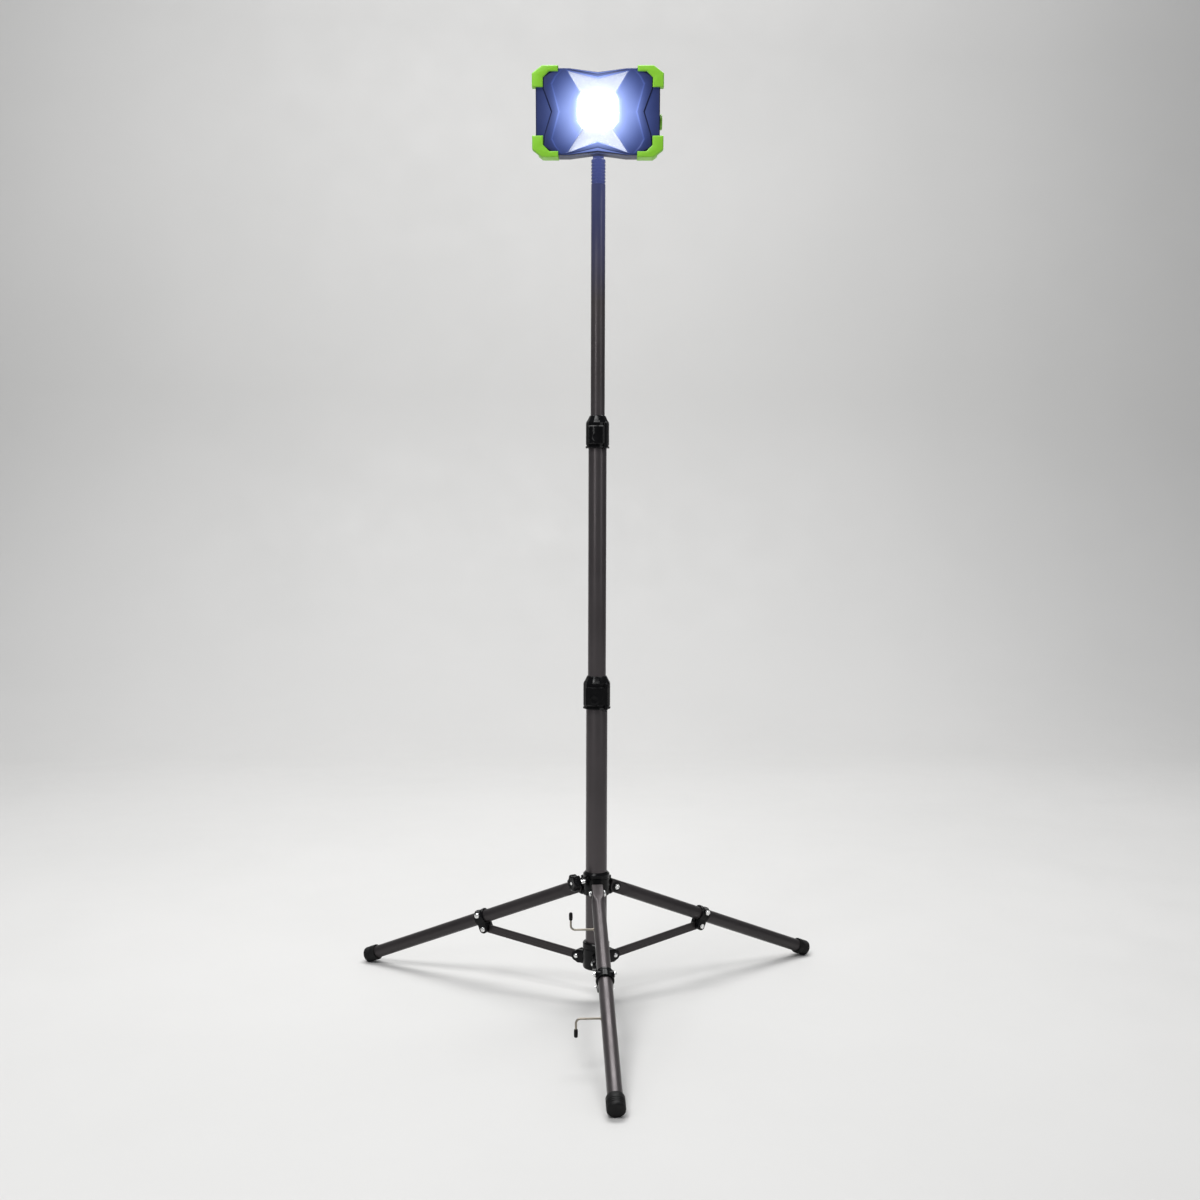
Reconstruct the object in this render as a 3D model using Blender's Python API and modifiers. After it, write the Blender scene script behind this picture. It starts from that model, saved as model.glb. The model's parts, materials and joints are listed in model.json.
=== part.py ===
"""Tripod work light: a telescopic three-stage mast on a folding tripod, carrying a square
rechargeable floodlight in a U bracket. Metres, +Z up, feet on z = 0, lamp facing -Y."""

import math

import bmesh
import bpy
from mathutils import Matrix, Vector

# Driving dimensions -------------------------------------------------------------------------
GAP = 0.0003
WALL = 0.0011

LOWER_R, LOWER_BOTTOM, LOWER_TOP = 0.016, 0.0545, 0.470
MIDDLE_R, MIDDLE_BOTTOM, MIDDLE_TOP = 0.0135, 0.388, 0.858
UPPER_R, UPPER_BOTTOM, UPPER_TOP = 0.0105, 0.776, 1.2217

LEG_R = 0.010
LEG_REACH = 0.4214
LEG_END_Z = 0.010
LEG_TUBE_END = 0.410
LEG_AZIMUTHS = {"front": -90.0, "right": 30.0, "left": 150.0}
HUB_PIVOT_R, HUB_PIVOT_Z = 0.031, 0.1735
HUB_RING_R, HUB_RING_BOTTOM, HUB_RING_TOP = 0.020, 0.165, 0.200
KNOB_AZIMUTH, KNOB_Z = 210.0, 0.187

LOW_PIVOT_R, LOW_PIVOT_Z = 0.0309, 0.0669
LOW_RING_R, LOW_RING_TOP, LOW_RING_BOTTOM = 0.0203, 0.092, 0.051
CLAMP_STATION, CLAMP_DROP, CLAMP_BOLT_RISE = 0.184, 0.0174, 0.0056
BRACE_HEIGHT, BRACE_THICK = 0.013, 0.0026

EAR_R, PIN_R = 0.0034, 0.0015
HUB_BOLT_R, CLAMP_BOLT_R, KNOB_SCREW_R = 0.0025, 0.0022, 0.0030

FOOT_R, FOOT_START, FOOT_LENGTH = 0.0124, 0.402, 0.0225
HOOK_WIRE_R, HOOK_REACH = 0.0015, 0.043
HOOK_STATIONS = {"upper": (0.082, 1.0), "lower": (0.263, -1.0)}

HEAD_YAW, HEAD_TILT = -4.0, 6.0
TILT_FORWARD, TILT_Z, LAMP_RISE = 0.085, 1.289, 0.0105
ARM_X, ARM_THICK, ARM_WIDTH, CROSSBAR_Y = 0.0841, 0.0020, 0.0168, 0.0770
BODY_HALF_W, BODY_HALF_H, BODY_DIP = 0.0864, 0.0583, 0.0052
HOUSING_STEP = 0.0026
GUARD_HALF_W, GUARD_HALF_H = 0.0915, 0.0613
PIVOT_CAP_R, PIVOT_HEAD_R = 0.0108, 0.0050
SIDE_BOLT_R, BRACKET_BOLT_R = 0.0030, 0.0030
FACE_Y, REAR_Y = -0.024, 0.024
HOUSING_FRONT = -0.0074
BUTTON_X, PORT_X, CONTROL_Z = 0.045, -0.045, 0.022

LEG_RISE = HUB_PIVOT_Z - LEG_END_Z
LEG_RUN = LEG_REACH - HUB_PIVOT_R
SLOPE = math.atan2(LEG_RISE, LEG_RUN)
LEG_LENGTH = math.hypot(LEG_RISE, LEG_RUN)

# The mast stands where the centre of the tripod's bounding rectangle is the origin.
FOOT_OUT = LEG_REACH + FOOT_R * math.sin(SLOPE)
FOOT_SIDE = FOOT_R
MAST_Y = (FOOT_OUT - (FOOT_OUT * 0.5 + FOOT_SIDE * math.cos(math.radians(30.0)))) / 2.0

PALETTE = {
    "gunmetal_paint": ((0.090, 0.082, 0.082), 0.38, 0.75),
    "black_plastic": ((0.012, 0.012, 0.014), 0.30, 0.0),
    "black_rubber": ((0.015, 0.015, 0.015), 0.75, 0.0),
    "bright_steel": ((0.70, 0.70, 0.72), 0.25, 1.0),
    "green_plastic": ((0.25, 0.62, 0.03), 0.42, 0.0),
    "green_paint": ((0.25, 0.62, 0.03), 0.35, 0.0),
    "head_plastic": ((0.030, 0.036, 0.075), 0.45, 0.0),
    "reflector_white": ((0.85, 0.86, 0.90), 0.18, 0.6),
    "clear_lens": ((0.90, 0.93, 1.00), 0.05, 0.0),
    "led_phosphor": ((1.00, 0.98, 0.90), 0.40, 0.0),
    "bare_aluminium": ((0.75, 0.76, 0.78), 0.35, 1.0),
    "battery_wrap": ((0.05, 0.18, 0.40), 0.40, 0.0),
    "board_green": ((0.02, 0.20, 0.08), 0.45, 0.0),
}


# Scene helpers ------------------------------------------------------------------------------
def clear_scene():
    for old in list(bpy.data.objects):
        bpy.data.objects.remove(old, do_unlink=True)


def new_collection(name):
    made = bpy.data.collections.new(name)
    bpy.context.scene.collection.children.link(made)
    return made


clear_scene()
PARTS = new_collection("work_light")
CUTTERS = new_collection("cutters")
CUTTERS.hide_render = True
MATERIALS = {}


def material(name):
    if name not in MATERIALS:
        colour, roughness, metallic = PALETTE[name]
        made = bpy.data.materials.new(name)
        made.use_nodes = True
        shader = made.node_tree.nodes["Principled BSDF"]
        shader.inputs["Base Color"].default_value = (*colour, 1.0)
        shader.inputs["Roughness"].default_value = roughness
        shader.inputs["Metallic"].default_value = metallic
        MATERIALS[name] = made
    return MATERIALS[name]


def empty(name, location, rotation=(0.0, 0.0, 0.0), parent=None):
    made = bpy.data.objects.new(name, None)
    PARTS.objects.link(made)
    made.location = location
    made.rotation_euler = rotation
    made.parent = parent
    return made


def add_mesh(name, bm, parent, at, look):
    """An object from a bmesh. look is a material's name, or None for a cutter."""
    mesh = bpy.data.meshes.new(name)
    bm.to_mesh(mesh)
    bm.free()
    return add_object(name, mesh, parent, at, look)


def add_object(name, mesh, parent, at, look):
    made = bpy.data.objects.new(name, mesh)
    made.location = at
    made.parent = parent
    if look is None:
        CUTTERS.objects.link(made)
        made.hide_render = True
        made.display_type = "WIRE"
    else:
        PARTS.objects.link(made)
        mesh.materials.append(material(look))
    return made


AXIS_TURN = {
    "X": Matrix.Rotation(math.radians(90.0), 4, "Y"),
    "Y": Matrix.Rotation(math.radians(-90.0), 4, "X"),
    "Z": Matrix.Identity(4),
}


def box(name, size, at, parent, look=None, bevel=0.0, segments=2):
    bm = bmesh.new()
    bmesh.ops.create_cube(bm, size=1.0)
    bmesh.ops.scale(bm, vec=Vector(size), verts=bm.verts)
    made = add_mesh(name, bm, parent, at, look)
    if bevel:
        round_edges(made, bevel, segments)
    return made


def cylinder(name, radius, length, at, axis, parent, look=None, sides=24):
    bm = bmesh.new()
    bmesh.ops.create_cone(bm, cap_ends=True, segments=sides, radius1=radius, radius2=radius,
                          depth=length)
    bmesh.ops.transform(bm, matrix=AXIS_TURN[axis], verts=bm.verts)
    return smooth(add_mesh(name, bm, parent, at, look))


def turned(name, profile, at, axis, parent, look=None, steps=24, closed=False):
    """profile is (radius, height) points, running top to bottom on the outer side."""
    bm = bmesh.new()
    points = [bm.verts.new((radius, 0.0, height)) for radius, height in profile]
    pairs = list(zip(points, points[1:]))
    if closed:
        pairs.append((points[-1], points[0]))
    for first, second in pairs:
        bm.edges.new((first, second))
    made = add_mesh(name, bm, parent, at, look)
    made.rotation_euler = AXIS_TURN[axis].to_euler()
    screw = made.modifiers.new("turn", "SCREW")
    screw.axis = "Z"
    screw.steps = steps
    screw.render_steps = steps
    screw.use_merge_vertices = True
    screw.merge_threshold = 0.00005
    screw.use_smooth_shade = True
    return made


def plate(name, outline, thickness, at, normal, parent, look=None):
    """A flat outline with a thickness. normal Z: outline is x, y. Y: x, z. X: y, z."""
    curve = bpy.data.curves.new(name + "_outline", "CURVE")
    curve.dimensions = "2D"
    curve.fill_mode = "BOTH"
    curve.extrude = thickness / 2.0
    spline = curve.splines.new("POLY")
    spline.points.add(len(outline) - 1)
    for point, (u, v) in zip(spline.points, outline):
        point.co = (u, v, 0.0, 1.0)
    spline.use_cyclic_u = True
    guide = bpy.data.objects.new(name + "_guide", curve)
    CUTTERS.objects.link(guide)
    graph = bpy.context.evaluated_depsgraph_get()
    mesh = bpy.data.meshes.new_from_object(guide.evaluated_get(graph))
    bpy.data.objects.remove(guide, do_unlink=True)
    bm = bmesh.new()
    bm.from_mesh(mesh)
    bmesh.ops.remove_doubles(bm, verts=bm.verts, dist=0.00001)
    turn = {
        "Z": Matrix.Identity(4),
        "Y": Matrix.Rotation(math.radians(90.0), 4, "X"),
        "X": Matrix(((0, 0, 1, 0), (1, 0, 0, 0), (0, 1, 0, 0), (0, 0, 0, 1))),
    }[normal]
    bmesh.ops.transform(bm, matrix=turn, verts=bm.verts)
    bmesh.ops.recalc_face_normals(bm, faces=bm.faces)
    return add_mesh(name, bm, parent, at, look)


def wire(name, points, radius, at, parent, look):
    """A round wire through the points, made a mesh with its caps welded."""
    curve = bpy.data.curves.new(name + "_path", "CURVE")
    curve.dimensions = "3D"
    curve.bevel_depth = radius
    curve.bevel_resolution = 2
    curve.use_fill_caps = True
    spline = curve.splines.new("POLY")
    spline.points.add(len(points) - 1)
    for point, place in zip(spline.points, points):
        point.co = (*place, 1.0)
    guide = bpy.data.objects.new(name + "_guide", curve)
    CUTTERS.objects.link(guide)
    graph = bpy.context.evaluated_depsgraph_get()
    mesh = bpy.data.meshes.new_from_object(guide.evaluated_get(graph))
    bpy.data.objects.remove(guide, do_unlink=True)
    bm = bmesh.new()
    bm.from_mesh(mesh)
    bmesh.ops.remove_doubles(bm, verts=bm.verts, dist=0.00001)
    return smooth(add_mesh(name, bm, parent, at, look))


def boolean(target, other, operation):
    step = target.modifiers.new(operation.lower(), "BOOLEAN")
    step.operation = operation
    step.solver = "EXACT"
    step.object = other


def cut(target, *others):
    for other in others:
        boolean(target, other, "DIFFERENCE")


def join(target, *others):
    for other in others:
        boolean(target, other, "UNION")


def round_edges(target, width, segments=2):
    bevel = target.modifiers.new("round", "BEVEL")
    bevel.width = width
    bevel.segments = segments
    bevel.limit_method = "ANGLE"
    bevel.angle_limit = math.radians(40.0)


def smooth(made):
    made.data.shade_smooth()
    made.data.set_sharp_from_angle(angle=math.radians(40.0))
    return made


def arc(radius, start, end, count, centre=(0.0, 0.0)):
    """count points on an arc from start to end, in degrees."""
    step = (end - start) / (count - 1)
    angles = [math.radians(start + step * index) for index in range(count)]
    return [(centre[0] + radius * math.cos(a), centre[1] + radius * math.sin(a)) for a in angles]


def ring_profile(outer, inner, top, bottom):
    return [(outer, top), (outer, bottom), (inner, bottom), (inner, top)]


def bolt_profile(shank_r, head_r, head_height, grip):
    """A headed pin, symmetric about the middle of its grip."""
    half = grip / 2.0
    side = [(head_r * 0.55, half + head_height), (head_r, half + head_height * 0.45), (head_r, half)]
    upper = [(0.0, half + head_height)] + side + [(shank_r, half)]
    return upper + [(radius, -height) for radius, height in reversed(upper)]


# Mast ---------------------------------------------------------------------------------------
MAST = empty("mast_axis", (0.0, MAST_Y, 0.0))


def mast_tube(name, radius, bottom, top):
    turned(name, ring_profile(radius, radius - WALL, top, bottom), (0, 0, 0), "Z", MAST,
           "gunmetal_paint", steps=24, closed=True)


def guide_bush(name, tube_r, outer_r, bottom):
    """A plastic sleeve on a sliding tube's lower end, filling the bore around it."""
    profile = ring_profile(outer_r - WALL - GAP, tube_r + GAP, bottom + 0.020, bottom)
    turned(name, profile, (0, 0, 0), "Z", MAST, "black_plastic", closed=True)


def clamp_collar(size, outer_r, tube_r, inner_r, bottom, top, tube_top):
    """A lever clamp: collar body, hinge pin and lever, around a tube's upper end."""
    shoulder = top - 0.0115
    lip = outer_r - 0.0048
    profile = [
        (lip, top), (outer_r - 0.0022, shoulder + 0.003), (outer_r - 0.0006, shoulder - 0.001),
        (outer_r, bottom + 0.002), (outer_r - 0.0012, bottom),
        (tube_r + GAP, bottom), (tube_r + GAP, tube_top + GAP),
        (inner_r + GAP, tube_top + GAP), (inner_r + GAP, top),
    ]
    body = turned(f"collar_{size}", profile, (0, 0, 0), "Z", MAST, "black_plastic", closed=True)
    pin_angle = math.radians(-53.0)
    pin_r = outer_r + 0.0012
    pin_at = Vector((pin_r * math.cos(pin_angle), pin_r * math.sin(pin_angle), 0.0))
    lever_bottom, lever_top = bottom + 0.0055, shoulder - 0.0055
    lever_mid = (lever_bottom + lever_top) / 2.0
    lever_height = lever_top - lever_bottom
    ear_top = shoulder - 0.001
    ears_at = pin_at + Vector((0, 0, (ear_top + bottom) / 2))
    lever_at = pin_at + Vector((0, 0, lever_mid))
    ears = cylinder(f"collar_{size}_ears", EAR_R, ear_top - bottom, ears_at, "Z", MAST, sides=20)
    notch = cylinder(f"collar_{size}_notch", EAR_R + 0.0007, lever_height + 2 * GAP, lever_at,
                     "Z", MAST, sides=20)
    pin_hole = cylinder(f"collar_{size}_pin_hole", PIN_R + GAP, 0.08, lever_at, "Z", MAST, sides=16)
    split = box(f"collar_{size}_split", (0.030, 0.0016, 0.08), (outer_r + 0.0065, 0, lever_mid), MAST)
    join(body, ears)
    cut(body, notch, pin_hole, split)
    cylinder(f"lever_pin_{size}", PIN_R, ear_top - bottom + 0.004, ears_at - Vector((0, 0, PIN_R)),
             "Z", MAST, "bright_steel", sides=16)

    hinge = empty(f"lever_{size}_hinge", lever_at, parent=MAST)
    centre = (-pin_at.x, -pin_at.y)
    inner_arc = arc(outer_r + 0.0004, -61.0, -136.0, 12, centre)
    outer_arc = arc(outer_r + 0.0032, -136.0, -58.0, 12, centre)
    lever = plate(f"lever_{size}", inner_arc + outer_arc, lever_height - 2 * GAP, (0, 0, 0), "Z",
                  hinge, "black_plastic")
    barrel = cylinder(f"lever_{size}_barrel", EAR_R, lever_height - 2 * GAP, (0, 0, 0), "Z",
                      hinge, sides=20)
    bore = cylinder(f"lever_{size}_bore", PIN_R + GAP, 0.05, (0, 0, 0), "Z", hinge, sides=16)
    join(lever, barrel)
    cut(lever, bore)


def build_mast():
    mast_tube("mast_tube_lower", LOWER_R, LOWER_BOTTOM, LOWER_TOP)
    mast_tube("mast_tube_middle", MIDDLE_R, MIDDLE_BOTTOM, MIDDLE_TOP)
    mast_tube("mast_tube_upper", UPPER_R, UPPER_BOTTOM, UPPER_TOP)
    guide_bush("bush_middle", MIDDLE_R, LOWER_R, MIDDLE_BOTTOM + 0.004)
    guide_bush("bush_upper", UPPER_R, MIDDLE_R, UPPER_BOTTOM + 0.004)
    clamp_collar("lower", 0.0198, LOWER_R, MIDDLE_R, 0.448, 0.497, LOWER_TOP)
    clamp_collar("upper", 0.0168, MIDDLE_R, UPPER_R, 0.8365, 0.8845, MIDDLE_TOP)


# Tripod hubs --------------------------------------------------------------------------------
def radial(name, azimuth, radius=0.0, height=0.0):
    """An empty on the mast whose X axis points out along an azimuth."""
    turn = math.radians(azimuth)
    place = (radius * math.cos(turn), radius * math.sin(turn), height)
    return empty(name, place, (0.0, 0.0, turn), MAST)


def build_upper_hub():
    profile = [
        (0.0, HUB_RING_TOP), (HUB_RING_R - 0.0025, HUB_RING_TOP), (HUB_RING_R, HUB_RING_TOP - 0.004),
        (HUB_RING_R, HUB_RING_BOTTOM), (0.0, HUB_RING_BOTTOM),
    ]
    hub = turned("upper_hub", profile, (0, 0, 0), "Z", MAST, "black_plastic", steps=24)
    for side, azimuth in LEG_AZIMUTHS.items():
        arm = radial(f"hub_arm_{side}", azimuth)
        pivot = (HUB_PIVOT_R, HUB_PIVOT_Z)
        outline = [(0.0175, 0.163), (0.0233, 0.163)] + arc(0.0072, -90.0, 90.0, 13, pivot)
        outline += [(0.0233, HUB_PIVOT_Z + 0.0072), (0.0233, 0.192), (0.0175, 0.192)]
        tongue = plate(f"hub_tongue_{side}", outline, 0.0114, (0, 0, 0), "Y", arm)
        pivot_at = (HUB_PIVOT_R, 0, HUB_PIVOT_Z)
        hole = cylinder(f"hub_hole_{side}", HUB_BOLT_R + GAP, 0.02, pivot_at, "Y", arm, sides=16)
        join(hub, tongue)
        cut(hub, hole)
        turned(f"hub_bolt_{side}", bolt_profile(HUB_BOLT_R, 0.0046, 0.0030, 0.0184), pivot_at,
               "Y", arm, "bright_steel", steps=16)
    knob_arm = radial("knob_arm", KNOB_AZIMUTH)
    boss = cylinder("hub_boss", 0.0062, 0.0040, (0.0200, 0, KNOB_Z), "X", knob_arm)
    tapped = cylinder("hub_tapped_hole", KNOB_SCREW_R + GAP, 0.030, (0.0280, 0, KNOB_Z),
                      "X", knob_arm, sides=16)
    bore = cylinder("hub_bore", LOWER_R + GAP, 0.08, (0, 0, KNOB_Z), "Z", MAST, sides=24)
    join(hub, boss)
    cut(hub, bore, tapped)


def build_hub_knob():
    hinge = radial("hub_knob_hinge", KNOB_AZIMUTH, 0.033, KNOB_Z)
    cylinder("hub_knob_screw", KNOB_SCREW_R, 0.0163, (-0.0084, 0, 0), "X", hinge, "bright_steel",
             sides=16)
    lobes, per_lobe = 6, 6
    count = lobes * per_lobe
    outline = []
    for index in range(count):
        turn = 2.0 * math.pi * index / count
        reach = 0.0118 + 0.0013 * math.cos(lobes * turn)
        outline.append((reach * math.cos(turn), reach * math.sin(turn)))
    knob = plate("hub_knob", outline, 0.012, (0.0063, 0, 0), "X", hinge, "black_plastic")
    round_edges(knob, 0.0012, 1)


def build_lower_hub():
    profile = [
        (0.0, LOW_RING_TOP), (LOW_RING_R - 0.0012, LOW_RING_TOP), (LOW_RING_R, LOW_RING_TOP - 0.0015),
        (LOW_RING_R, LOW_RING_BOTTOM + 0.004), (LOW_RING_R - 0.004, LOW_RING_BOTTOM),
        (0.0, LOW_RING_BOTTOM),
    ]
    hub = turned("lower_hub", profile, (0, 0, 0), "Z", MAST, "black_plastic", steps=24)
    for side, azimuth in LEG_AZIMUTHS.items():
        arm = radial(f"low_arm_{side}", azimuth)
        outline = [(0.0175, 0.0569), (0.0285, 0.0569)]
        outline += arc(0.0078, -75.0, 75.0, 11, (LOW_PIVOT_R, LOW_PIVOT_Z))
        outline += [(0.0285, 0.0769), (0.0175, 0.0769)]
        lug = plate(f"low_lug_{side}", outline, 0.0150, (0, 0, 0), "Y", arm)
        slot_inner = LOWER_R + 0.0004
        slot_at = (slot_inner + 0.015, 0, 0.0645)
        slot = box(f"low_slot_{side}", (0.030, 0.0044, 0.0310), slot_at, arm)
        join(hub, lug)
        cut(hub, slot)
        for cheek in (-1.0, 1.0):
            head_at = (LOW_PIVOT_R, cheek * 0.0080, LOW_PIVOT_Z)
            rivet = cylinder(f"low_rivet_{side}_{cheek:+.0f}", 0.0034, 0.0026, head_at,
                             "Y", arm, sides=16)
            join(hub, rivet)
    bore = cylinder("low_bore", LOWER_R + GAP, 0.08, (0, 0, LOWER_BOTTOM - GAP + 0.04), "Z", MAST, sides=24)
    cut(hub, bore)


# Legs and braces ----------------------------------------------------------------------------
FORK_HALF = 0.0088
SLOT_HALF = 0.0061


def build_leg(side, azimuth):
    """The leg's frame: X down the leg from its pivot, Y across, Z square to it."""
    turn = math.radians(azimuth)
    pivot = (HUB_PIVOT_R * math.cos(turn), HUB_PIVOT_R * math.sin(turn), HUB_PIVOT_Z)
    leg = empty(f"leg_{side}_pivot", pivot, (0.0, SLOPE, turn), MAST)

    profile = [
        (0.0, LEG_TUBE_END), (LEG_R, LEG_TUBE_END), (LEG_R, 0.014), (0.0, 0.014),
    ]
    tube = turned(f"leg_{side}", profile, (0, 0, 0), "X", leg, "gunmetal_paint", steps=20)
    bore = cylinder(f"leg_{side}_bore", LEG_R - WALL, 0.400, (0.235, 0, 0), "X", leg, sides=24)
    fork = box(f"leg_{side}_fork", (0.034, 2 * FORK_HALF, 0.0192), (0.007, 0, 0), leg, bevel=0.0024)
    slot = box(f"leg_{side}_slot", (0.0240, 2 * SLOT_HALF, 0.0240), (-0.0010, 0, -0.0044), leg)
    hole = cylinder(f"leg_{side}_hole", HUB_BOLT_R + GAP, 0.03, (0, 0, 0), "Y", leg, sides=16)
    heel = box(f"leg_{side}_heel", (0.014, 0.03, 0.014), (-0.007, 0, -0.007), leg)
    keep = cylinder(f"leg_{side}_heel_round", 0.0100, 0.04, (0, 0, 0), "Y", leg, sides=24)
    cut(heel, keep)
    join(tube, fork)
    cut(tube, bore, slot, hole, heel)

    cap_profile = [
        (0.0, FOOT_LENGTH), (FOOT_R - 0.0015, FOOT_LENGTH), (FOOT_R, FOOT_LENGTH - 0.0012),
        (FOOT_R, 0.0), (LEG_R + GAP, 0.0), (LEG_R + GAP, 0.0085), (0.0, 0.0085),
    ]
    foot = turned(f"foot_{side}", cap_profile, (FOOT_START, 0, 0), "X", leg, "black_rubber",
                  steps=20)
    floor_at = (LEG_REACH * math.cos(turn), LEG_REACH * math.sin(turn), -0.010)
    ground = box(f"ground_{side}", (0.08, 0.08, 0.02), floor_at, MAST)
    cut(foot, ground)
    build_clamp(side, leg)
    build_brace(side, leg)
    return leg


def build_clamp(side, leg):
    """The collar on the leg, with its cross bolt above and the brace's clevis below."""
    centre = (CLAMP_STATION, 0, 0)
    bolt_at = (CLAMP_STATION, 0, CLAMP_BOLT_RISE)
    pivot_at = (CLAMP_STATION, 0, -CLAMP_DROP)
    clamp = cylinder(f"leg_clamp_{side}", 0.0130, 0.016, centre, "X", leg, "black_plastic", sides=20)
    boss = cylinder(f"clamp_boss_{side}", 0.0052, 0.0250, bolt_at, "Y", leg, sides=20)
    outline = arc(0.0070, 180.0, 360.0, 13, (CLAMP_STATION, -CLAMP_DROP))
    outline += [(CLAMP_STATION + 0.0070, -0.0055), (CLAMP_STATION - 0.0070, -0.0055)]
    lug = plate(f"clamp_lug_{side}", outline, 0.0200, (0, 0, 0), "Y", leg)
    bore = cylinder(f"clamp_bore_{side}", LEG_R + GAP, 0.04, centre, "X", leg, sides=20)
    slot = box(f"clamp_slot_{side}", (0.040, 0.0034, 0.0200), (CLAMP_STATION, 0, -0.0204), leg)
    hole = cylinder(f"clamp_hole_{side}", CLAMP_BOLT_R + GAP, 0.03, pivot_at, "Y", leg, sides=16)
    heads = cylinder(f"clamp_heads_{side}", 0.0040, 0.0310, bolt_at, "Y", leg, sides=16)
    join(clamp, boss, lug, heads)
    cut(clamp, bore, slot, hole)

    turned(f"clamp_bolt_{side}", bolt_profile(CLAMP_BOLT_R, 0.0040, 0.0028, 0.0206), pivot_at,
           "Y", leg, "bright_steel", steps=16)


def clamp_pivot_rz():
    """Where the brace's outer pivot is, as radius and height, with the legs spread."""
    radius = HUB_PIVOT_R + CLAMP_STATION * math.cos(SLOPE) - CLAMP_DROP * math.sin(SLOPE)
    height = HUB_PIVOT_Z - CLAMP_STATION * math.sin(SLOPE) - CLAMP_DROP * math.cos(SLOPE)
    return radius, height


def build_brace(side, leg):
    """The flat bar between the clamp and the lower hub. Its X axis runs to the hub."""
    radius, height = clamp_pivot_rz()
    run, drop = LOW_PIVOT_R - radius, LOW_PIVOT_Z - height
    length = math.hypot(run, drop)
    swing = math.atan2(-drop, run) - SLOPE
    hinge = empty(f"brace_{side}_pivot", (CLAMP_STATION, 0, -CLAMP_DROP), (0.0, swing, 0.0), leg)
    half = BRACE_HEIGHT / 2.0
    outline = arc(half, 90.0, 270.0, 12) + arc(half, -90.0, 90.0, 12, (length, 0.0))
    bar = plate(f"brace_{side}", outline, BRACE_THICK, (0, 0, 0), "Y", hinge, "gunmetal_paint")
    for x in (0.0, length):
        hole = cylinder(f"brace_hole_{side}_{x:.2f}", CLAMP_BOLT_R + GAP, 0.01, (x, 0, 0),
                        "Y", hinge, sides=16)
        cut(bar, hole)


def build_hooks(leg):
    """Two bent wires on the front leg's left side, each with a soft tip."""
    up = Vector((-math.sin(SLOPE), 0.0, math.cos(SLOPE)))
    for level, (station, direction) in HOOK_STATIONS.items():
        foot = Vector((station, -(LEG_R + GAP), 0.0))
        elbow = Vector((station, -HOOK_REACH, 0.0))
        bend, rise = 0.006, 0.016
        path = [foot]
        corner = elbow + Vector((0, bend, 0)) + up * (bend * direction)
        for index in range(7):
            turn = math.radians(90.0 * index / 6)
            across = Vector((0, bend * math.sin(turn), 0))
            path.append(corner - across - up * (direction * bend * math.cos(turn)))
        path.append(path[-1] + up * (direction * (rise - bend)))
        wire(f"cable_hook_{level}", path, HOOK_WIRE_R, (0, 0, 0), leg, "bright_steel")
        tip_at = path[-1] + up * (direction * (0.0045 + GAP))
        tip = cylinder(f"hook_tip_{level}", 0.0027, 0.009, tip_at, "Z", leg, "black_rubber", sides=16)
        tip.rotation_euler = (0.0, -SLOPE, 0.0)


# Mast top and bracket -----------------------------------------------------------------------
SWIVEL = empty("swivel_axis", (0.0, 0.0, 0.0), (0.0, 0.0, math.radians(HEAD_YAW)), MAST)
TONGUE_FRONT = CROSSBAR_Y - TILT_FORWARD + ARM_THICK + GAP
TONGUE_DEPTH = 0.0082
BRACKET = empty("bracket_axis", (0.0, -TILT_FORWARD, TILT_Z), parent=SWIVEL)


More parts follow.
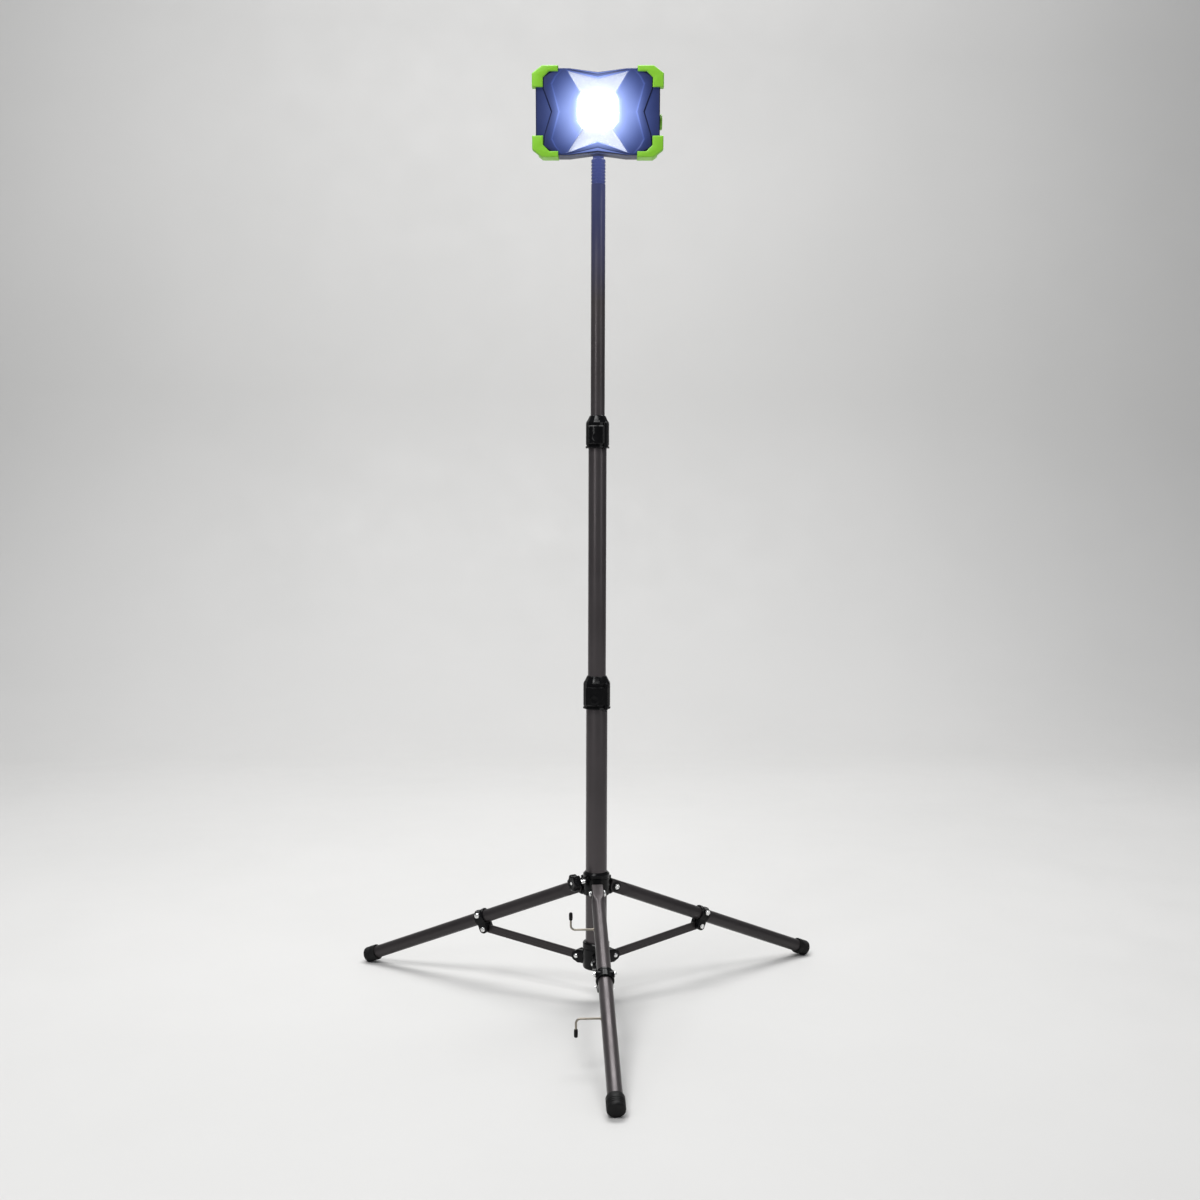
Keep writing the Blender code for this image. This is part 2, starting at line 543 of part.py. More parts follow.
def build_mast_top():
    """A ribbed spigot adapter with a flat tongue that the bracket is bolted to."""
    top, bottom = 1.2585, UPPER_TOP + GAP
    ribs = []
    count = 6
    pitch = (top - 0.0025 - bottom) / count
    for index in range(count):
        level = top - 0.0025 - index * pitch
        ribs += [(UPPER_R, level), (UPPER_R, level - pitch * 0.55),
                 (UPPER_R - 0.0012, level - pitch * 0.62), (UPPER_R - 0.0012, level - pitch * 0.93)]
    spigot_r = UPPER_R - WALL - GAP
    profile = [(0.0, top), (UPPER_R - 0.001, top)] + ribs
    profile += [(UPPER_R, bottom), (spigot_r, bottom), (spigot_r, bottom - 0.024), (0.0, bottom - 0.024)]
    adapter = turned("mast_adapter", profile, (0, 0, 0), "Z", SWIVEL, "black_plastic", steps=20)
    tongue_mid = TONGUE_FRONT + TONGUE_DEPTH / 2
    tongue = box("adapter_tongue", (0.016, TONGUE_DEPTH, 0.050), (0, tongue_mid, TILT_Z - 0.009), SWIVEL)
    crown = cylinder("adapter_crown", 0.008, TONGUE_DEPTH, (0, tongue_mid, TILT_Z + 0.016), "Y", SWIVEL)
    hole = cylinder("adapter_hole", BRACKET_BOLT_R + GAP, 0.04, (0, tongue_mid, TILT_Z),
                    "Y", SWIVEL, sides=16)
    join(adapter, tongue, crown)
    cut(adapter, hole)

    plate_front = CROSSBAR_Y - TILT_FORWARD
    head_y = plate_front - GAP
    shank_end = TONGUE_FRONT + TONGUE_DEPTH + 0.0105
    profile = [(0.0, shank_end), (BRACKET_BOLT_R, shank_end), (BRACKET_BOLT_R, head_y),
               (0.0055, head_y), (0.0055, head_y - 0.0030), (0.0, head_y - 0.0030)]
    turned("bracket_bolt", profile, (0, 0, TILT_Z), "Y", SWIVEL, "bright_steel", steps=16)

    nut_y = TONGUE_FRONT + TONGUE_DEPTH + GAP
    nut_hinge = empty("wing_nut_axis", (0.0, nut_y, TILT_Z), parent=SWIVEL)
    nut = cylinder("wing_nut", 0.0065, 0.009, (0, 0.0045, 0), "Y", nut_hinge, "black_plastic")
    wing = [(0.004, -0.0028), (0.0150, 0.0010), (0.0170, 0.0050), (0.0140, 0.0080), (0.004, 0.0045)]
    for hand in (1.0, -1.0):
        outline = [(hand * x, hand * z) for x, z in wing]
        blade = plate(f"wing_{hand:+.0f}", outline, 0.0060, (0, 0.0055, 0), "Y", nut_hinge)
        join(nut, blade)
    bore = cylinder("wing_nut_bore", BRACKET_BOLT_R + GAP, 0.04, (0, 0.005, 0), "Y", nut_hinge, sides=16)
    cut(nut, bore)


def build_bracket():
    """The flat-bar U bracket: two arms beside the lamp and a bar behind it."""
    half = ARM_WIDTH / 2.0
    arm_x = ARM_X + ARM_THICK / 2
    bar_back = CROSSBAR_Y + ARM_THICK
    outline = arc(half, 90.0, 270.0, 14) + [(bar_back, -half), (bar_back, half)]
    bracket = plate("lamp_bracket", outline, ARM_THICK, (arm_x, 0, 0), "X", BRACKET, "green_paint")
    other = plate("bracket_other_arm", outline, ARM_THICK, (-arm_x, 0, 0), "X", BRACKET)
    bar_size = (2 * arm_x, ARM_THICK, ARM_WIDTH)
    bar = box("bracket_bar", bar_size, (0, CROSSBAR_Y + ARM_THICK / 2, 0), BRACKET)
    centre_hole = cylinder("bracket_hole", BRACKET_BOLT_R + GAP, 0.02, (0, CROSSBAR_Y, 0),
                           "Y", BRACKET, sides=16)
    side_hole = cylinder("bracket_side_hole", SIDE_BOLT_R + GAP, 0.3, (0, 0, 0), "X", BRACKET, sides=16)
    join(bracket, bar, other)
    cut(bracket, centre_hole, side_hole)
    shank_in, shoulder = ARM_X - 0.0080, ARM_X + ARM_THICK + GAP
    cap_in, cap_out = BODY_HALF_W + GAP, BODY_HALF_W + 0.0038
    cap = [
        (0.0, cap_out), (PIVOT_CAP_R - 0.0012, cap_out), (PIVOT_CAP_R, cap_out - 0.0010),
        (PIVOT_CAP_R, cap_in), (PIVOT_HEAD_R, cap_in), (PIVOT_HEAD_R, shoulder),
        (SIDE_BOLT_R, shoulder), (SIDE_BOLT_R, shank_in), (0.0, shank_in),
    ]
    turned("pivot_bolt_right", cap, (0, 0, 0), "X", BRACKET, "green_plastic")
    head = [
        (0.0, -shank_in), (SIDE_BOLT_R, -shank_in), (SIDE_BOLT_R, -shoulder),
        (PIVOT_HEAD_R, -shoulder), (PIVOT_HEAD_R - 0.0004, -shoulder - 0.0008), (0.0, -shoulder - 0.0008),
    ]
    turned("pivot_bolt_left", head, (0, 0, 0), "X", BRACKET, "bright_steel", steps=16)


# Lamp ---------------------------------------------------------------------------------------
LAMP = empty("lamp_tilt_axis", (0, 0, 0), (math.radians(HEAD_TILT), 0.0, 0.0), BRACKET)


def mirrored(points):
    """A closed outline from its right-hand half, listed top to bottom."""
    return points + [(-x, z) for x, z in reversed(points) if abs(x) > 1e-6]


def body_outline(inset, step=0.0):
    """The casing seen from the front. step is how far its flanks lie in from the bezel's."""
    half_w, half_h = BODY_HALF_W - inset - step, BODY_HALF_H - inset
    dip = BODY_DIP
    return mirrored([
        (0.0, half_h - dip), (0.040, half_h), (half_w - 0.012, half_h), (half_w, half_h - 0.0095),
        (half_w, -half_h + 0.0095), (half_w - 0.012, -half_h), (0.040, -half_h), (0.0, -half_h + dip),
    ])


def star_outline(inset):
    """The four-pointed window: spikes to the corners around an octagonal middle."""
    side = 0.0293 - inset
    tip_x, tip_in = 0.0425 - 1.6 * inset, 1.6 * inset
    return mirrored([
        (0.0, 0.0444 - inset), (tip_x, 0.0548 - tip_in), (0.0245 - inset, 0.0260),
        (side, 0.0160), (side, -0.0125), (0.0210 - inset, -0.0226),
        (tip_x, -0.0552 + tip_in), (0.0, -0.0391 + inset),
    ])


def octagon(half_w, half_h, corner, middle=0.0):
    return mirrored([
        (half_w - corner, middle + half_h), (half_w, middle + half_h - corner),
        (half_w, middle - half_h + corner), (half_w - corner, middle - half_h),
    ])


def slab(name, outline, front, back, look=None):
    return plate(name, outline, back - front, (0, (front + back) / 2, LAMP_RISE), "Y", LAMP, look)


def lamp_box(name, size, at, look=None, bevel=0.0):
    return box(name, size, (at[0], at[1], at[2] + LAMP_RISE), LAMP, look, bevel=bevel)


def build_casing():
    housing = slab("rear_housing", body_outline(0.0, HOUSING_STEP), HOUSING_FRONT, REAR_Y, "head_plastic")
    round_edges(housing, 0.0030, 2)
    deep = HOUSING_FRONT - 0.01
    hollow = slab("housing_hollow", body_outline(0.0027, HOUSING_STEP), deep, REAR_Y - 0.0028)
    square_front = slab("housing_square", body_outline(-0.004), deep, HOUSING_FRONT + 0.0030)
    side_hole = cylinder("housing_side_hole", SIDE_BOLT_R + GAP, 0.3, (0, 0, 0), "X", LAMP, sides=16)
    button_at = (BUTTON_X, REAR_Y, CONTROL_Z + LAMP_RISE)
    button_hole = cylinder("button_hole", 0.0078, 0.02, button_at, "Y", LAMP)
    port_hole = lamp_box("port_hole", (0.0126, 0.02, 0.0086), (PORT_X, REAR_Y, CONTROL_Z))
    cut(housing, square_front, hollow, side_hole, button_hole, port_hole)
    for x in (-0.068, 0.068):
        for z in (-0.046, 0.046):
            at = (x, REAR_Y, z + LAMP_RISE)
            screw = cylinder(f"case_screw_{x:+.3f}_{z:+.3f}", 0.0030, 0.0024, at, "Y", LAMP, sides=16)
            join(housing, screw)

    bezel = slab("front_bezel", body_outline(0.0), FACE_Y, -0.0090, "head_plastic")
    round_edges(bezel, 0.0020, 1)
    window = slab("bezel_window", star_outline(0.0), -0.04, 0.0)
    pocket = slab("bezel_pocket", body_outline(0.0050), -0.0129, 0.0)
    cut(bezel, window, pocket)

    gasket_ring = body_outline(0.0012, HOUSING_STEP)
    gasket = slab("housing_gasket", gasket_ring, -0.0087, -0.0077, "black_rubber")
    gasket_hole = slab("gasket_hole", body_outline(0.0040, HOUSING_STEP), -0.02, 0.0)
    cut(gasket, gasket_hole)


def build_guard(name, right, up):
    """A soft corner guard: an L in front and a chamfered cap round the body's corner."""
    far_w, far_h = GUARD_HALF_W, GUARD_HALF_H
    near_w, near_h = far_w - 0.0365, far_h - 0.0292
    band = far_h - 0.0083
    points = [
        (near_w, far_h), (far_w - 0.0140, far_h), (far_w, far_h - 0.0105), (far_w, near_h),
        (far_w - 0.0155, near_h), (far_w - 0.0155, far_h - 0.0164), (far_w - 0.0240, band),
        (near_w, band),
    ]
    outline = [(right * x, up * z) for x, z in points]
    guard = slab(name, outline, FACE_Y - 0.0015, 0.0100, "green_plastic")
    core = slab(name + "_core", body_outline(-GAP), FACE_Y - GAP, HOUSING_FRONT - GAP)
    rear_core = slab(name + "_rear", body_outline(-GAP, HOUSING_STEP), HOUSING_FRONT - 0.001, 0.03)
    flank_x = BODY_HALF_W - HOUSING_STEP - GAP + 0.0100
    flank = lamp_box(name + "_flank", (0.02, 0.04, 0.2), (right * flank_x, 0.0090, 0.0))
    round_edges(guard, 0.0009, 1)
    cut(guard, core, rear_core, flank)


def build_optics():
    slab("lens", star_outline(0.0005), -0.0215, -0.0193, "clear_lens")
    reflector = slab("reflector", star_outline(0.0005), -0.0190, -0.0150, "reflector_white")
    mouth = slab("reflector_mouth", octagon(0.0235, 0.0250, 0.0100, 0.0040), -0.03, 0.0)
    cut(reflector, mouth)
    board = slab("led_board", octagon(0.0330, 0.0360, 0.0080), -0.0126, -0.0110, "led_phosphor")
    die = cylinder("led_die", 0.0150, 0.0013, (0, -0.0131, LAMP_RISE), "Y", LAMP)
    join(board, die)
    sink = lamp_box("heat_sink", (0.090, 0.0040, 0.082), (0.0, -0.0087, 0.0), "bare_aluminium")
    for index in range(7):
        fin = lamp_box(f"sink_fin_{index}", (0.0020, 0.0080, 0.080), ((index - 3) * 0.013, -0.0035, 0.0))
        join(sink, fin)


def build_electrics():
    lamp_box("battery_pack", (0.072, 0.0180, 0.038), (0.0, 0.0115, -0.0285), "battery_wrap",
             bevel=0.0040)
    board = lamp_box("driver_board", (0.068, 0.0016, 0.036), (0.0, 0.0068, 0.0180), "board_green")
    coil = cylinder("driver_coil", 0.0060, 0.0070, (0.018, 0.0108, 0.018 + LAMP_RISE), "Y", LAMP, sides=20)
    chip = lamp_box("driver_chip", (0.012, 0.004, 0.010), (-0.012, 0.0090, 0.020))
    join(board, coil, chip)
    port_at = (PORT_X, 0.0180, CONTROL_Z)
    port = lamp_box("charge_port", (0.0118, 0.0110, 0.0078), port_at, "black_plastic")
    socket_at = (PORT_X, 0.0220, CONTROL_Z + LAMP_RISE)
    socket = cylinder("charge_socket", 0.0028, 0.010, socket_at, "Y", LAMP, sides=16)
    cut(port, socket)

    button_at = empty("button_axis", (BUTTON_X, REAR_Y, CONTROL_Z + LAMP_RISE), parent=LAMP)
    profile = [(0.0, 0.0018), (0.0060, 0.0018), (0.0075, 0.0008), (0.0075, -0.0038), (0.0, -0.0038)]
    turned("power_button", profile, (0, 0, 0), "Y", button_at, "green_plastic")

    flap_place = (PORT_X, REAR_Y + 0.0012, CONTROL_Z + 0.0065 + LAMP_RISE)
    flap_at = empty("port_cover_axis", flap_place, parent=LAMP)
    box("port_cover", (0.0180, 0.0018, 0.0150), (0, 0, -0.0069), flap_at, "black_rubber",
        bevel=0.0005, segments=1)


def build_lamp():
    build_casing()
    for vertical, up in (("top", 1.0), ("bottom", -1.0)):
        for horizontal, right in (("right", 1.0), ("left", -1.0)):
            build_guard(f"corner_guard_{vertical}_{horizontal}", right, up)
    build_optics()
    build_electrics()


build_mast()
build_upper_hub()
build_hub_knob()
build_lower_hub()
for leg_side, leg_azimuth in LEG_AZIMUTHS.items():
    leg_frame = build_leg(leg_side, leg_azimuth)
    if leg_side == "front":
        build_hooks(leg_frame)
build_mast_top()
build_bracket()
build_lamp()
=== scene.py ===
"""Tripod work light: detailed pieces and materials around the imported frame."""

import json
import math

import bmesh
import bpy
from mathutils import Matrix, Vector


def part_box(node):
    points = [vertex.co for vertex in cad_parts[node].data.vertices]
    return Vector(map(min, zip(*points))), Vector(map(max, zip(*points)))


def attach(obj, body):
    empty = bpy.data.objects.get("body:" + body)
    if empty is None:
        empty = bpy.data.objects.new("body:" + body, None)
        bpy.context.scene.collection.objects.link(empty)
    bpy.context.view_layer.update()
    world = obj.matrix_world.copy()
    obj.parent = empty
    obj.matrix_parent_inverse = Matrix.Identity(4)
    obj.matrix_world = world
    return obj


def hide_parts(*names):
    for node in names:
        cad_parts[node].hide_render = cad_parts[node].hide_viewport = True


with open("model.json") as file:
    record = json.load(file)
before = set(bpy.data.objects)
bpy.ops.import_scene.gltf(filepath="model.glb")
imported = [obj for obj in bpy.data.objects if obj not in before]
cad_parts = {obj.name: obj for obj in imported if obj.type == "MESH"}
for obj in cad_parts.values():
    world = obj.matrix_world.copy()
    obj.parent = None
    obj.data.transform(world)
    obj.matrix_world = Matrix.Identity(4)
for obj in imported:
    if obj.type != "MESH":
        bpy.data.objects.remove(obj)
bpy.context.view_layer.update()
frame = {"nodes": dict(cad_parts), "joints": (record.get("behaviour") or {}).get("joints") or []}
JOINTS = {joint["name"]: joint for joint in frame["joints"]}
MM = Matrix.Scale(0.001, 4)
SIDES = ("front", "right", "left")
EDGE_REACH = 0.0005


# Frames -------------------------------------------------------------------------------------
def turn(axis, degrees):
    return Matrix.Rotation(math.radians(degrees), 4, axis)


def shift(x, y, z):
    return Matrix.Translation((x, y, z))


mast_low, mast_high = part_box("mast_tube_lower")
MAST_X = (mast_low.x + mast_high.x) / 2
MAST_Y = (mast_low.y + mast_high.y) / 2
MAST = shift(MAST_X, MAST_Y, 0.0)
LEG_RISE, LEG_RUN = 0.1635, 0.3904
SLOPE = math.degrees(math.atan2(LEG_RISE, LEG_RUN))
HEAD_TILT = 6.0
FACE_RISE = 0.0105

AZIMUTH, LEG = {}, {}
for side in SIDES:
    pivot = Vector(JOINTS[side + "_leg_fold"]["pos_m"])
    AZIMUTH[side] = math.degrees(math.atan2(pivot.y - MAST_Y, pivot.x - MAST_X))
    LEG[side] = shift(*pivot) @ turn("Z", AZIMUTH[side]) @ turn("Y", SLOPE)

tilt_axis = JOINTS["lamp_tilt"]["axis"]
HEAD_YAW = math.degrees(math.atan2(tilt_axis[1], tilt_axis[0]))
SWIVEL = MAST @ turn("Z", HEAD_YAW)
BRACKET = shift(*JOINTS["lamp_tilt"]["pos_m"]) @ turn("Z", HEAD_YAW)
LAMP = BRACKET @ turn("X", HEAD_TILT)
FACE = LAMP @ shift(0.0, 0.0, FACE_RISE)


# Materials ----------------------------------------------------------------------------------
class Nodes:
    """A material's node tree, with its shader and short ways to add to it."""

    def __init__(self, name):
        self.material = bpy.data.materials.new(name)
        self.material.use_nodes = True
        self.tree = self.material.node_tree
        self.shader = self.tree.nodes["Principled BSDF"]
        coordinates = self.add("ShaderNodeTexCoord").outputs
        self.where, self.normal = coordinates["Object"], coordinates["Normal"]

    def add(self, kind, **values):
        node = self.tree.nodes.new(kind)
        for key, value in values.items():
            setattr(node, key, value)
        return node

    def link(self, start, end):
        self.tree.links.new(start, end)

    def feed(self, value, socket):
        """Sets a socket to a number or a colour, or links it to another socket."""
        if isinstance(value, tuple):
            socket.default_value = (*value, 1.0)
        elif isinstance(value, (int, float)):
            socket.default_value = value
        else:
            self.link(value, socket)

    def noise(self, scale, detail=3.0, stretch=None):
        node = self.add("ShaderNodeTexNoise")
        node.inputs["Scale"].default_value = scale
        node.inputs["Detail"].default_value = detail
        if stretch:
            mapping = self.add("ShaderNodeMapping")
            mapping.inputs["Scale"].default_value = stretch
            self.link(self.where, mapping.inputs["Vector"])
            self.link(mapping.outputs["Vector"], node.inputs["Vector"])
        else:
            self.link(self.where, node.inputs["Vector"])
        return node.outputs["Fac"]

    def span(self, value, low, high, start=0.3, end=0.7):
        node = self.add("ShaderNodeMapRange")
        for socket, number in (("From Min", start), ("From Max", end), ("To Min", low), ("To Max", high)):
            node.inputs[socket].default_value = number
        self.link(value, node.inputs["Value"])
        return node.outputs["Result"]

    def mix(self, factor, first, second):
        node = self.add("ShaderNodeMix", data_type="RGBA")
        self.link(factor, node.inputs["Factor"])
        self.feed(first, node.inputs[6])
        self.feed(second, node.inputs[7])
        return node.outputs[2]

    def math(self, operation, first, second):
        node = self.add("ShaderNodeMath", operation=operation)
        self.feed(first, node.inputs[0])
        self.feed(second, node.inputs[1])
        return node.outputs[0]

    def vector(self, operation, *values):
        """Vector maths. A distance or a dot product comes out as a number."""
        node = self.add("ShaderNodeVectorMath", operation=operation)
        for value, socket in zip(values, node.inputs):
            if isinstance(value, tuple):
                socket.default_value = value
            else:
                self.link(value, socket)
        return node.outputs["Value" if operation in ("DISTANCE", "DOT_PRODUCT") else "Vector"]

    def bump(self, height, strength, distance):
        node = self.add("ShaderNodeBump")
        node.inputs["Strength"].default_value = strength
        node.inputs["Distance"].default_value = distance
        self.link(height, node.inputs["Height"])
        self.link(node.outputs["Normal"], self.shader.inputs["Normal"])

    def edges(self):
        """How far a point is up an edge: 0 on a flat, toward 1 on an edge."""
        soft = self.add("ShaderNodeBevel", samples=4)
        soft.inputs["Radius"].default_value = EDGE_REACH
        hard = self.add("ShaderNodeNewGeometry").outputs["Normal"]
        agree = self.vector("DOT_PRODUCT", soft.outputs["Normal"], hard)
        return self.span(agree, 1.0, 0.0, 0.80, 0.98)


def scaled(colour, factor):
    return tuple(min(1.0, channel * factor) for channel in colour)


def surface(name, colour, rough, metal=0.0, patch=14.0, vary=0.12, rough_vary=0.06, grain=2200.0,
            grain_depth=0.00003, stretch=None, worn=None, worn_rough=None, wear=0.45, coat=0.0, shine=0.5):
    """A moulded, painted or plated surface with patches, grain and rubbed edges."""
    made = Nodes(name)
    shader = made.shader
    patches = made.span(made.noise(patch, 4.0), 0.0, 1.0)
    body = made.mix(patches, scaled(colour, 1.0 - vary), scaled(colour, 1.0 + vary))
    handling = made.span(made.noise(patch * 5.0, 5.0, stretch), rough - rough_vary, rough + rough_vary)
    if worn:
        chips = made.span(made.noise(260.0, 6.0), 0.0, 1.0, 0.42, 0.62)
        rubbed = made.math("MULTIPLY", made.math("MULTIPLY", made.edges(), chips), wear)
        body = made.mix(rubbed, body, worn)
        handling = made.math("ADD", handling, made.math("MULTIPLY", rubbed, (worn_rough or rough) - rough))
    made.link(body, shader.inputs["Base Color"])
    made.link(handling, shader.inputs["Roughness"])
    shader.inputs["Metallic"].default_value = metal
    shader.inputs["Specular IOR Level"].default_value = shine
    shader.inputs["Coat Weight"].default_value = coat
    shader.inputs["Coat Roughness"].default_value = 0.12
    made.bump(made.noise(grain, 2.0, stretch), 0.6, grain_depth)
    return made


# Sets emission: the LED's own light, and painted light where the reflectors use it.
def glow(made, colour, strength):
    made.shader.inputs["Emission Color"].default_value = (*colour, 1.0)
    made.shader.inputs["Emission Strength"].default_value = strength
    return made


def distance_from_face(made):
    return made.vector("DISTANCE", made.where, tuple(FACE.translation))


def facing(made, target):
    """How squarely the surface faces a point, from 0 to 1, in the object's own space."""
    toward = made.vector("NORMALIZE", made.vector("SUBTRACT", tuple(target), made.where))
    return made.span(made.vector("DOT_PRODUCT", toward, made.normal), 0.0, 1.0, 0.02, 0.95)


def head_surface_with_painted_glow():
    """Blue-black moulding with painted light: a painted blue glow, bluer and brighter toward the lit
    window.
    """
    made = surface("head_plastic_painted_glow_look", (0.016, 0.022, 0.072), 0.42, patch=30.0, vary=0.10, grain=3200.0,
                   grain_depth=0.00005, worn=(0.08, 0.10, 0.20), wear=0.35, shine=0.28)
    # Painted light: emission stands in for the LED's spill and glare. It is strongest near the window, and
    # shows only on faces turned to a point 58 mm in front of it.
    away = distance_from_face(made)
    painted_halo = made.math("POWER", made.span(away, 1.0, 0.0, 0.026, 0.096), 1.8)
    rim = made.span(away, 1.0, 0.25, 0.060, 0.105)
    colour = made.mix(painted_halo, (0.045, 0.088, 0.38), (0.44, 0.56, 1.0))
    made.link(colour, made.shader.inputs["Emission Color"])
    reach = made.math("ADD", made.math("MULTIPLY", painted_halo, 2.1), made.math("MULTIPLY", rim, 0.78))
    lit = made.math("MULTIPLY", reach, facing(made, FACE @ Vector((0.0, -0.058, 0.0))))
    made.link(lit, made.shader.inputs["Emission Strength"])
    return made


def painted_spill_surface(name, colour, rough, low, high, strength, **more):
    """A surface with a painted blue spill from the lamp: emission fading with distance from its face, on
    forward-facing sides only.
    """
    made = surface(name, colour, rough, **more)
    # Painted light: the spill shows only on sides that face forward, toward the lamp's beam.
    forward = made.vector("DOT_PRODUCT", made.normal, (0.0, -1.0, 0.0))
    painted_spill = made.math("MULTIPLY", made.span(distance_from_face(made), 1.0, 0.0, low, high), strength)
    painted_spill = made.math("MULTIPLY", painted_spill, made.span(forward, 0.0, 1.0, -0.15, 0.45))
    made.shader.inputs["Emission Color"].default_value = (0.15, 0.19, 0.58, 1.0)
    made.link(painted_spill, made.shader.inputs["Emission Strength"])
    return made


def lens_surface():
    made = surface("clear_lens_look", (0.90, 0.94, 1.0), 0.06, patch=40.0, vary=0.03, rough_vary=0.02,
                   grain=500.0, grain_depth=0.000004)
    made.shader.inputs["Alpha"].default_value = 0.22
    return made


GREEN = (0.250, 0.620, 0.030)
PAINT = (0.078, 0.069, 0.071)
PAINT_GRAIN = {"patch": 9.0, "grain": 5200.0}
PLASTIC_GRAIN = {"patch": 35.0, "vary": 0.20}
ALONG = (1.0, 1.0, 0.35)
LOOKS = {
    "paint": (surface("gunmetal_look", PAINT, 0.34, 0.60, stretch=ALONG, worn=(0.22, 0.21, 0.20),
                      worn_rough=0.30, wear=0.35, shine=0.42, **PAINT_GRAIN), "gunmetal_paint"),
    # Copies of the gunmetal and the black plastic with a painted blue spill from the lamp: painted light.
    "spill_painted_gunmetal": (painted_spill_surface("gunmetal_painted_spill_look", PAINT, 0.34, 0.105, 0.260, 0.22, metal=0.60,
                              stretch=ALONG, shine=0.42, **PAINT_GRAIN), "gunmetal_paint"),
    # A half-bright copy of the gunmetal: painted shade, for the side legs and the braces.
    "gunmetal_painted_shade": (surface("gunmetal_painted_shade_look", scaled(PAINT, 0.50), 0.36, 0.45, worn=(0.16, 0.15, 0.14),
                           worn_rough=0.30, wear=0.3, shine=0.36, **PAINT_GRAIN), "gunmetal_paint"),
    "black": (surface("black_plastic_look", (0.0030, 0.0030, 0.0034), 0.20, grain=1600.0,
                      grain_depth=0.000008, worn=(0.020, 0.020, 0.022), worn_rough=0.34, wear=0.2,
                      shine=0.16, **PLASTIC_GRAIN), "black_plastic"),
    "spill_painted_black": (painted_spill_surface("black_plastic_painted_spill_look", (0.010, 0.012, 0.030), 0.30, 0.080, 0.170, 0.46,
                              grain=2600.0, grain_depth=0.00002, **PLASTIC_GRAIN), "black_plastic"),
    "rubber": (surface("black_rubber_look", (0.0045, 0.0045, 0.0045), 0.52, patch=60.0, vary=0.25,
                       grain=1800.0, grain_depth=0.00006, worn=(0.03, 0.03, 0.028), worn_rough=0.7,
                       shine=0.2), "black_rubber"),
    "steel": (surface("bright_steel_look", (0.88, 0.88, 0.87), 0.26, 1.0, patch=120.0, vary=0.08,
                      grain=1500.0, grain_depth=0.00001), "bright_steel"),
    "blued": (surface("blued_steel_look", (0.045, 0.045, 0.050), 0.30, 0.9, patch=90.0, grain=1500.0,
                      grain_depth=0.00001), "bright_steel"),
    "wire": (surface("steel_wire_look", (0.33, 0.30, 0.25), 0.36, 1.0, patch=90.0, vary=0.15, grain=1800.0,
                     grain_depth=0.00001), "bright_steel"),
    "green": (surface("green_plastic_look", GREEN, 0.42, patch=35.0, vary=0.07, grain=2400.0,
                      grain_depth=0.00005, worn=(0.42, 0.78, 0.14), worn_rough=0.5, wear=0.5),
              "green_plastic"),
    "green_paint": (surface("green_paint_look", GREEN, 0.34, patch=20.0, vary=0.06, grain=1300.0,
                            grain_depth=0.00005, worn=(0.50, 0.52, 0.48), worn_rough=0.35, coat=0.2),
                    "green_paint"),
    "head": (head_surface_with_painted_glow(), "head_plastic"),
    "lens": (lens_surface(), "clear_lens"),
    # The star and the bowl glow: painted light standing in for the LED's light thrown back by the
    # reflector.
    "reflector": (glow(surface("reflector_painted_glow_look", (0.50, 0.52, 0.62), 0.25, 0.2, patch=60.0, vary=0.03,
                               grain=900.0, grain_depth=0.00001), (0.70, 0.77, 1.0), 0.62),
                  "reflector_white"),
    "bowl": (glow(surface("reflector_bowl_painted_glow_look", (0.92, 0.93, 0.96), 0.18, 0.3, patch=60.0, vary=0.03,
                          grain=900.0, grain_depth=0.00001), (0.93, 0.95, 1.0), 6.0), "reflector_white"),
    "led": (glow(surface("led_look", (1.0, 0.97, 0.86), 0.40, patch=200.0, vary=0.04, grain=1500.0),
                 (0.96, 0.97, 1.0), 14.0), "led_phosphor"),
    "aluminium": (surface("bare_aluminium_look", (0.72, 0.73, 0.75), 0.34, 1.0, patch=25.0, vary=0.08,
                          grain=1600.0, stretch=(1.0, 1.0, 0.05)), "bare_aluminium"),
    "wrap": (surface("battery_wrap_look", (0.05, 0.18, 0.40), 0.30, patch=30.0, vary=0.10, grain=700.0,
                     grain_depth=0.00005), "battery_wrap"),
    "board": (surface("board_green_look", (0.02, 0.20, 0.08), 0.35, patch=150.0, vary=0.25, grain=900.0),
              "board_green"),
}


# Shapes, in millimetres ---------------------------------------------------------------------
TURNED = {
    "Z": Matrix.Identity(4),
    "Y": Matrix(((1, 0, 0, 0), (0, 0, 1, 0), (0, 1, 0, 0), (0, 0, 0, 1))),
    "X": Matrix(((0, 0, 1, 0), (1, 0, 0, 0), (0, 1, 0, 0), (0, 0, 0, 1))),
}


def moved(bm, matrix):
    bmesh.ops.transform(bm, matrix=matrix, verts=bm.verts)
    return bm


def settle(bm, axis="Z", at=(0, 0, 0)):
    moved(bm, Matrix.Translation(at) @ TURNED[axis])
    bmesh.ops.recalc_face_normals(bm, faces=bm.faces)
    return bm


def fillet(points, radius, steps=4):
    """Rounds the corners of a 2D outline. radius is one number, or one for each point."""
    made, count = [], len(points)
    for index, (x, y) in enumerate(points):
        size = radius[index] if isinstance(radius, (list, tuple)) else radius
        if not size:
            made.append((x, y))
            continue
        corner = Vector((x, y))
        before = Vector(points[index - 1]) - corner
        after = Vector(points[(index + 1) % count]) - corner
        half = before.angle(after) / 2.0
        reach = min(size / math.tan(half), before.length * 0.49, after.length * 0.49)
        start = corner + before.normalized() * reach
        end = corner + after.normalized() * reach
        for step in range(steps + 1):
            t = step / steps
            made.append(tuple(start.lerp(corner, t).lerp(corner.lerp(end, t), t)))
    return made


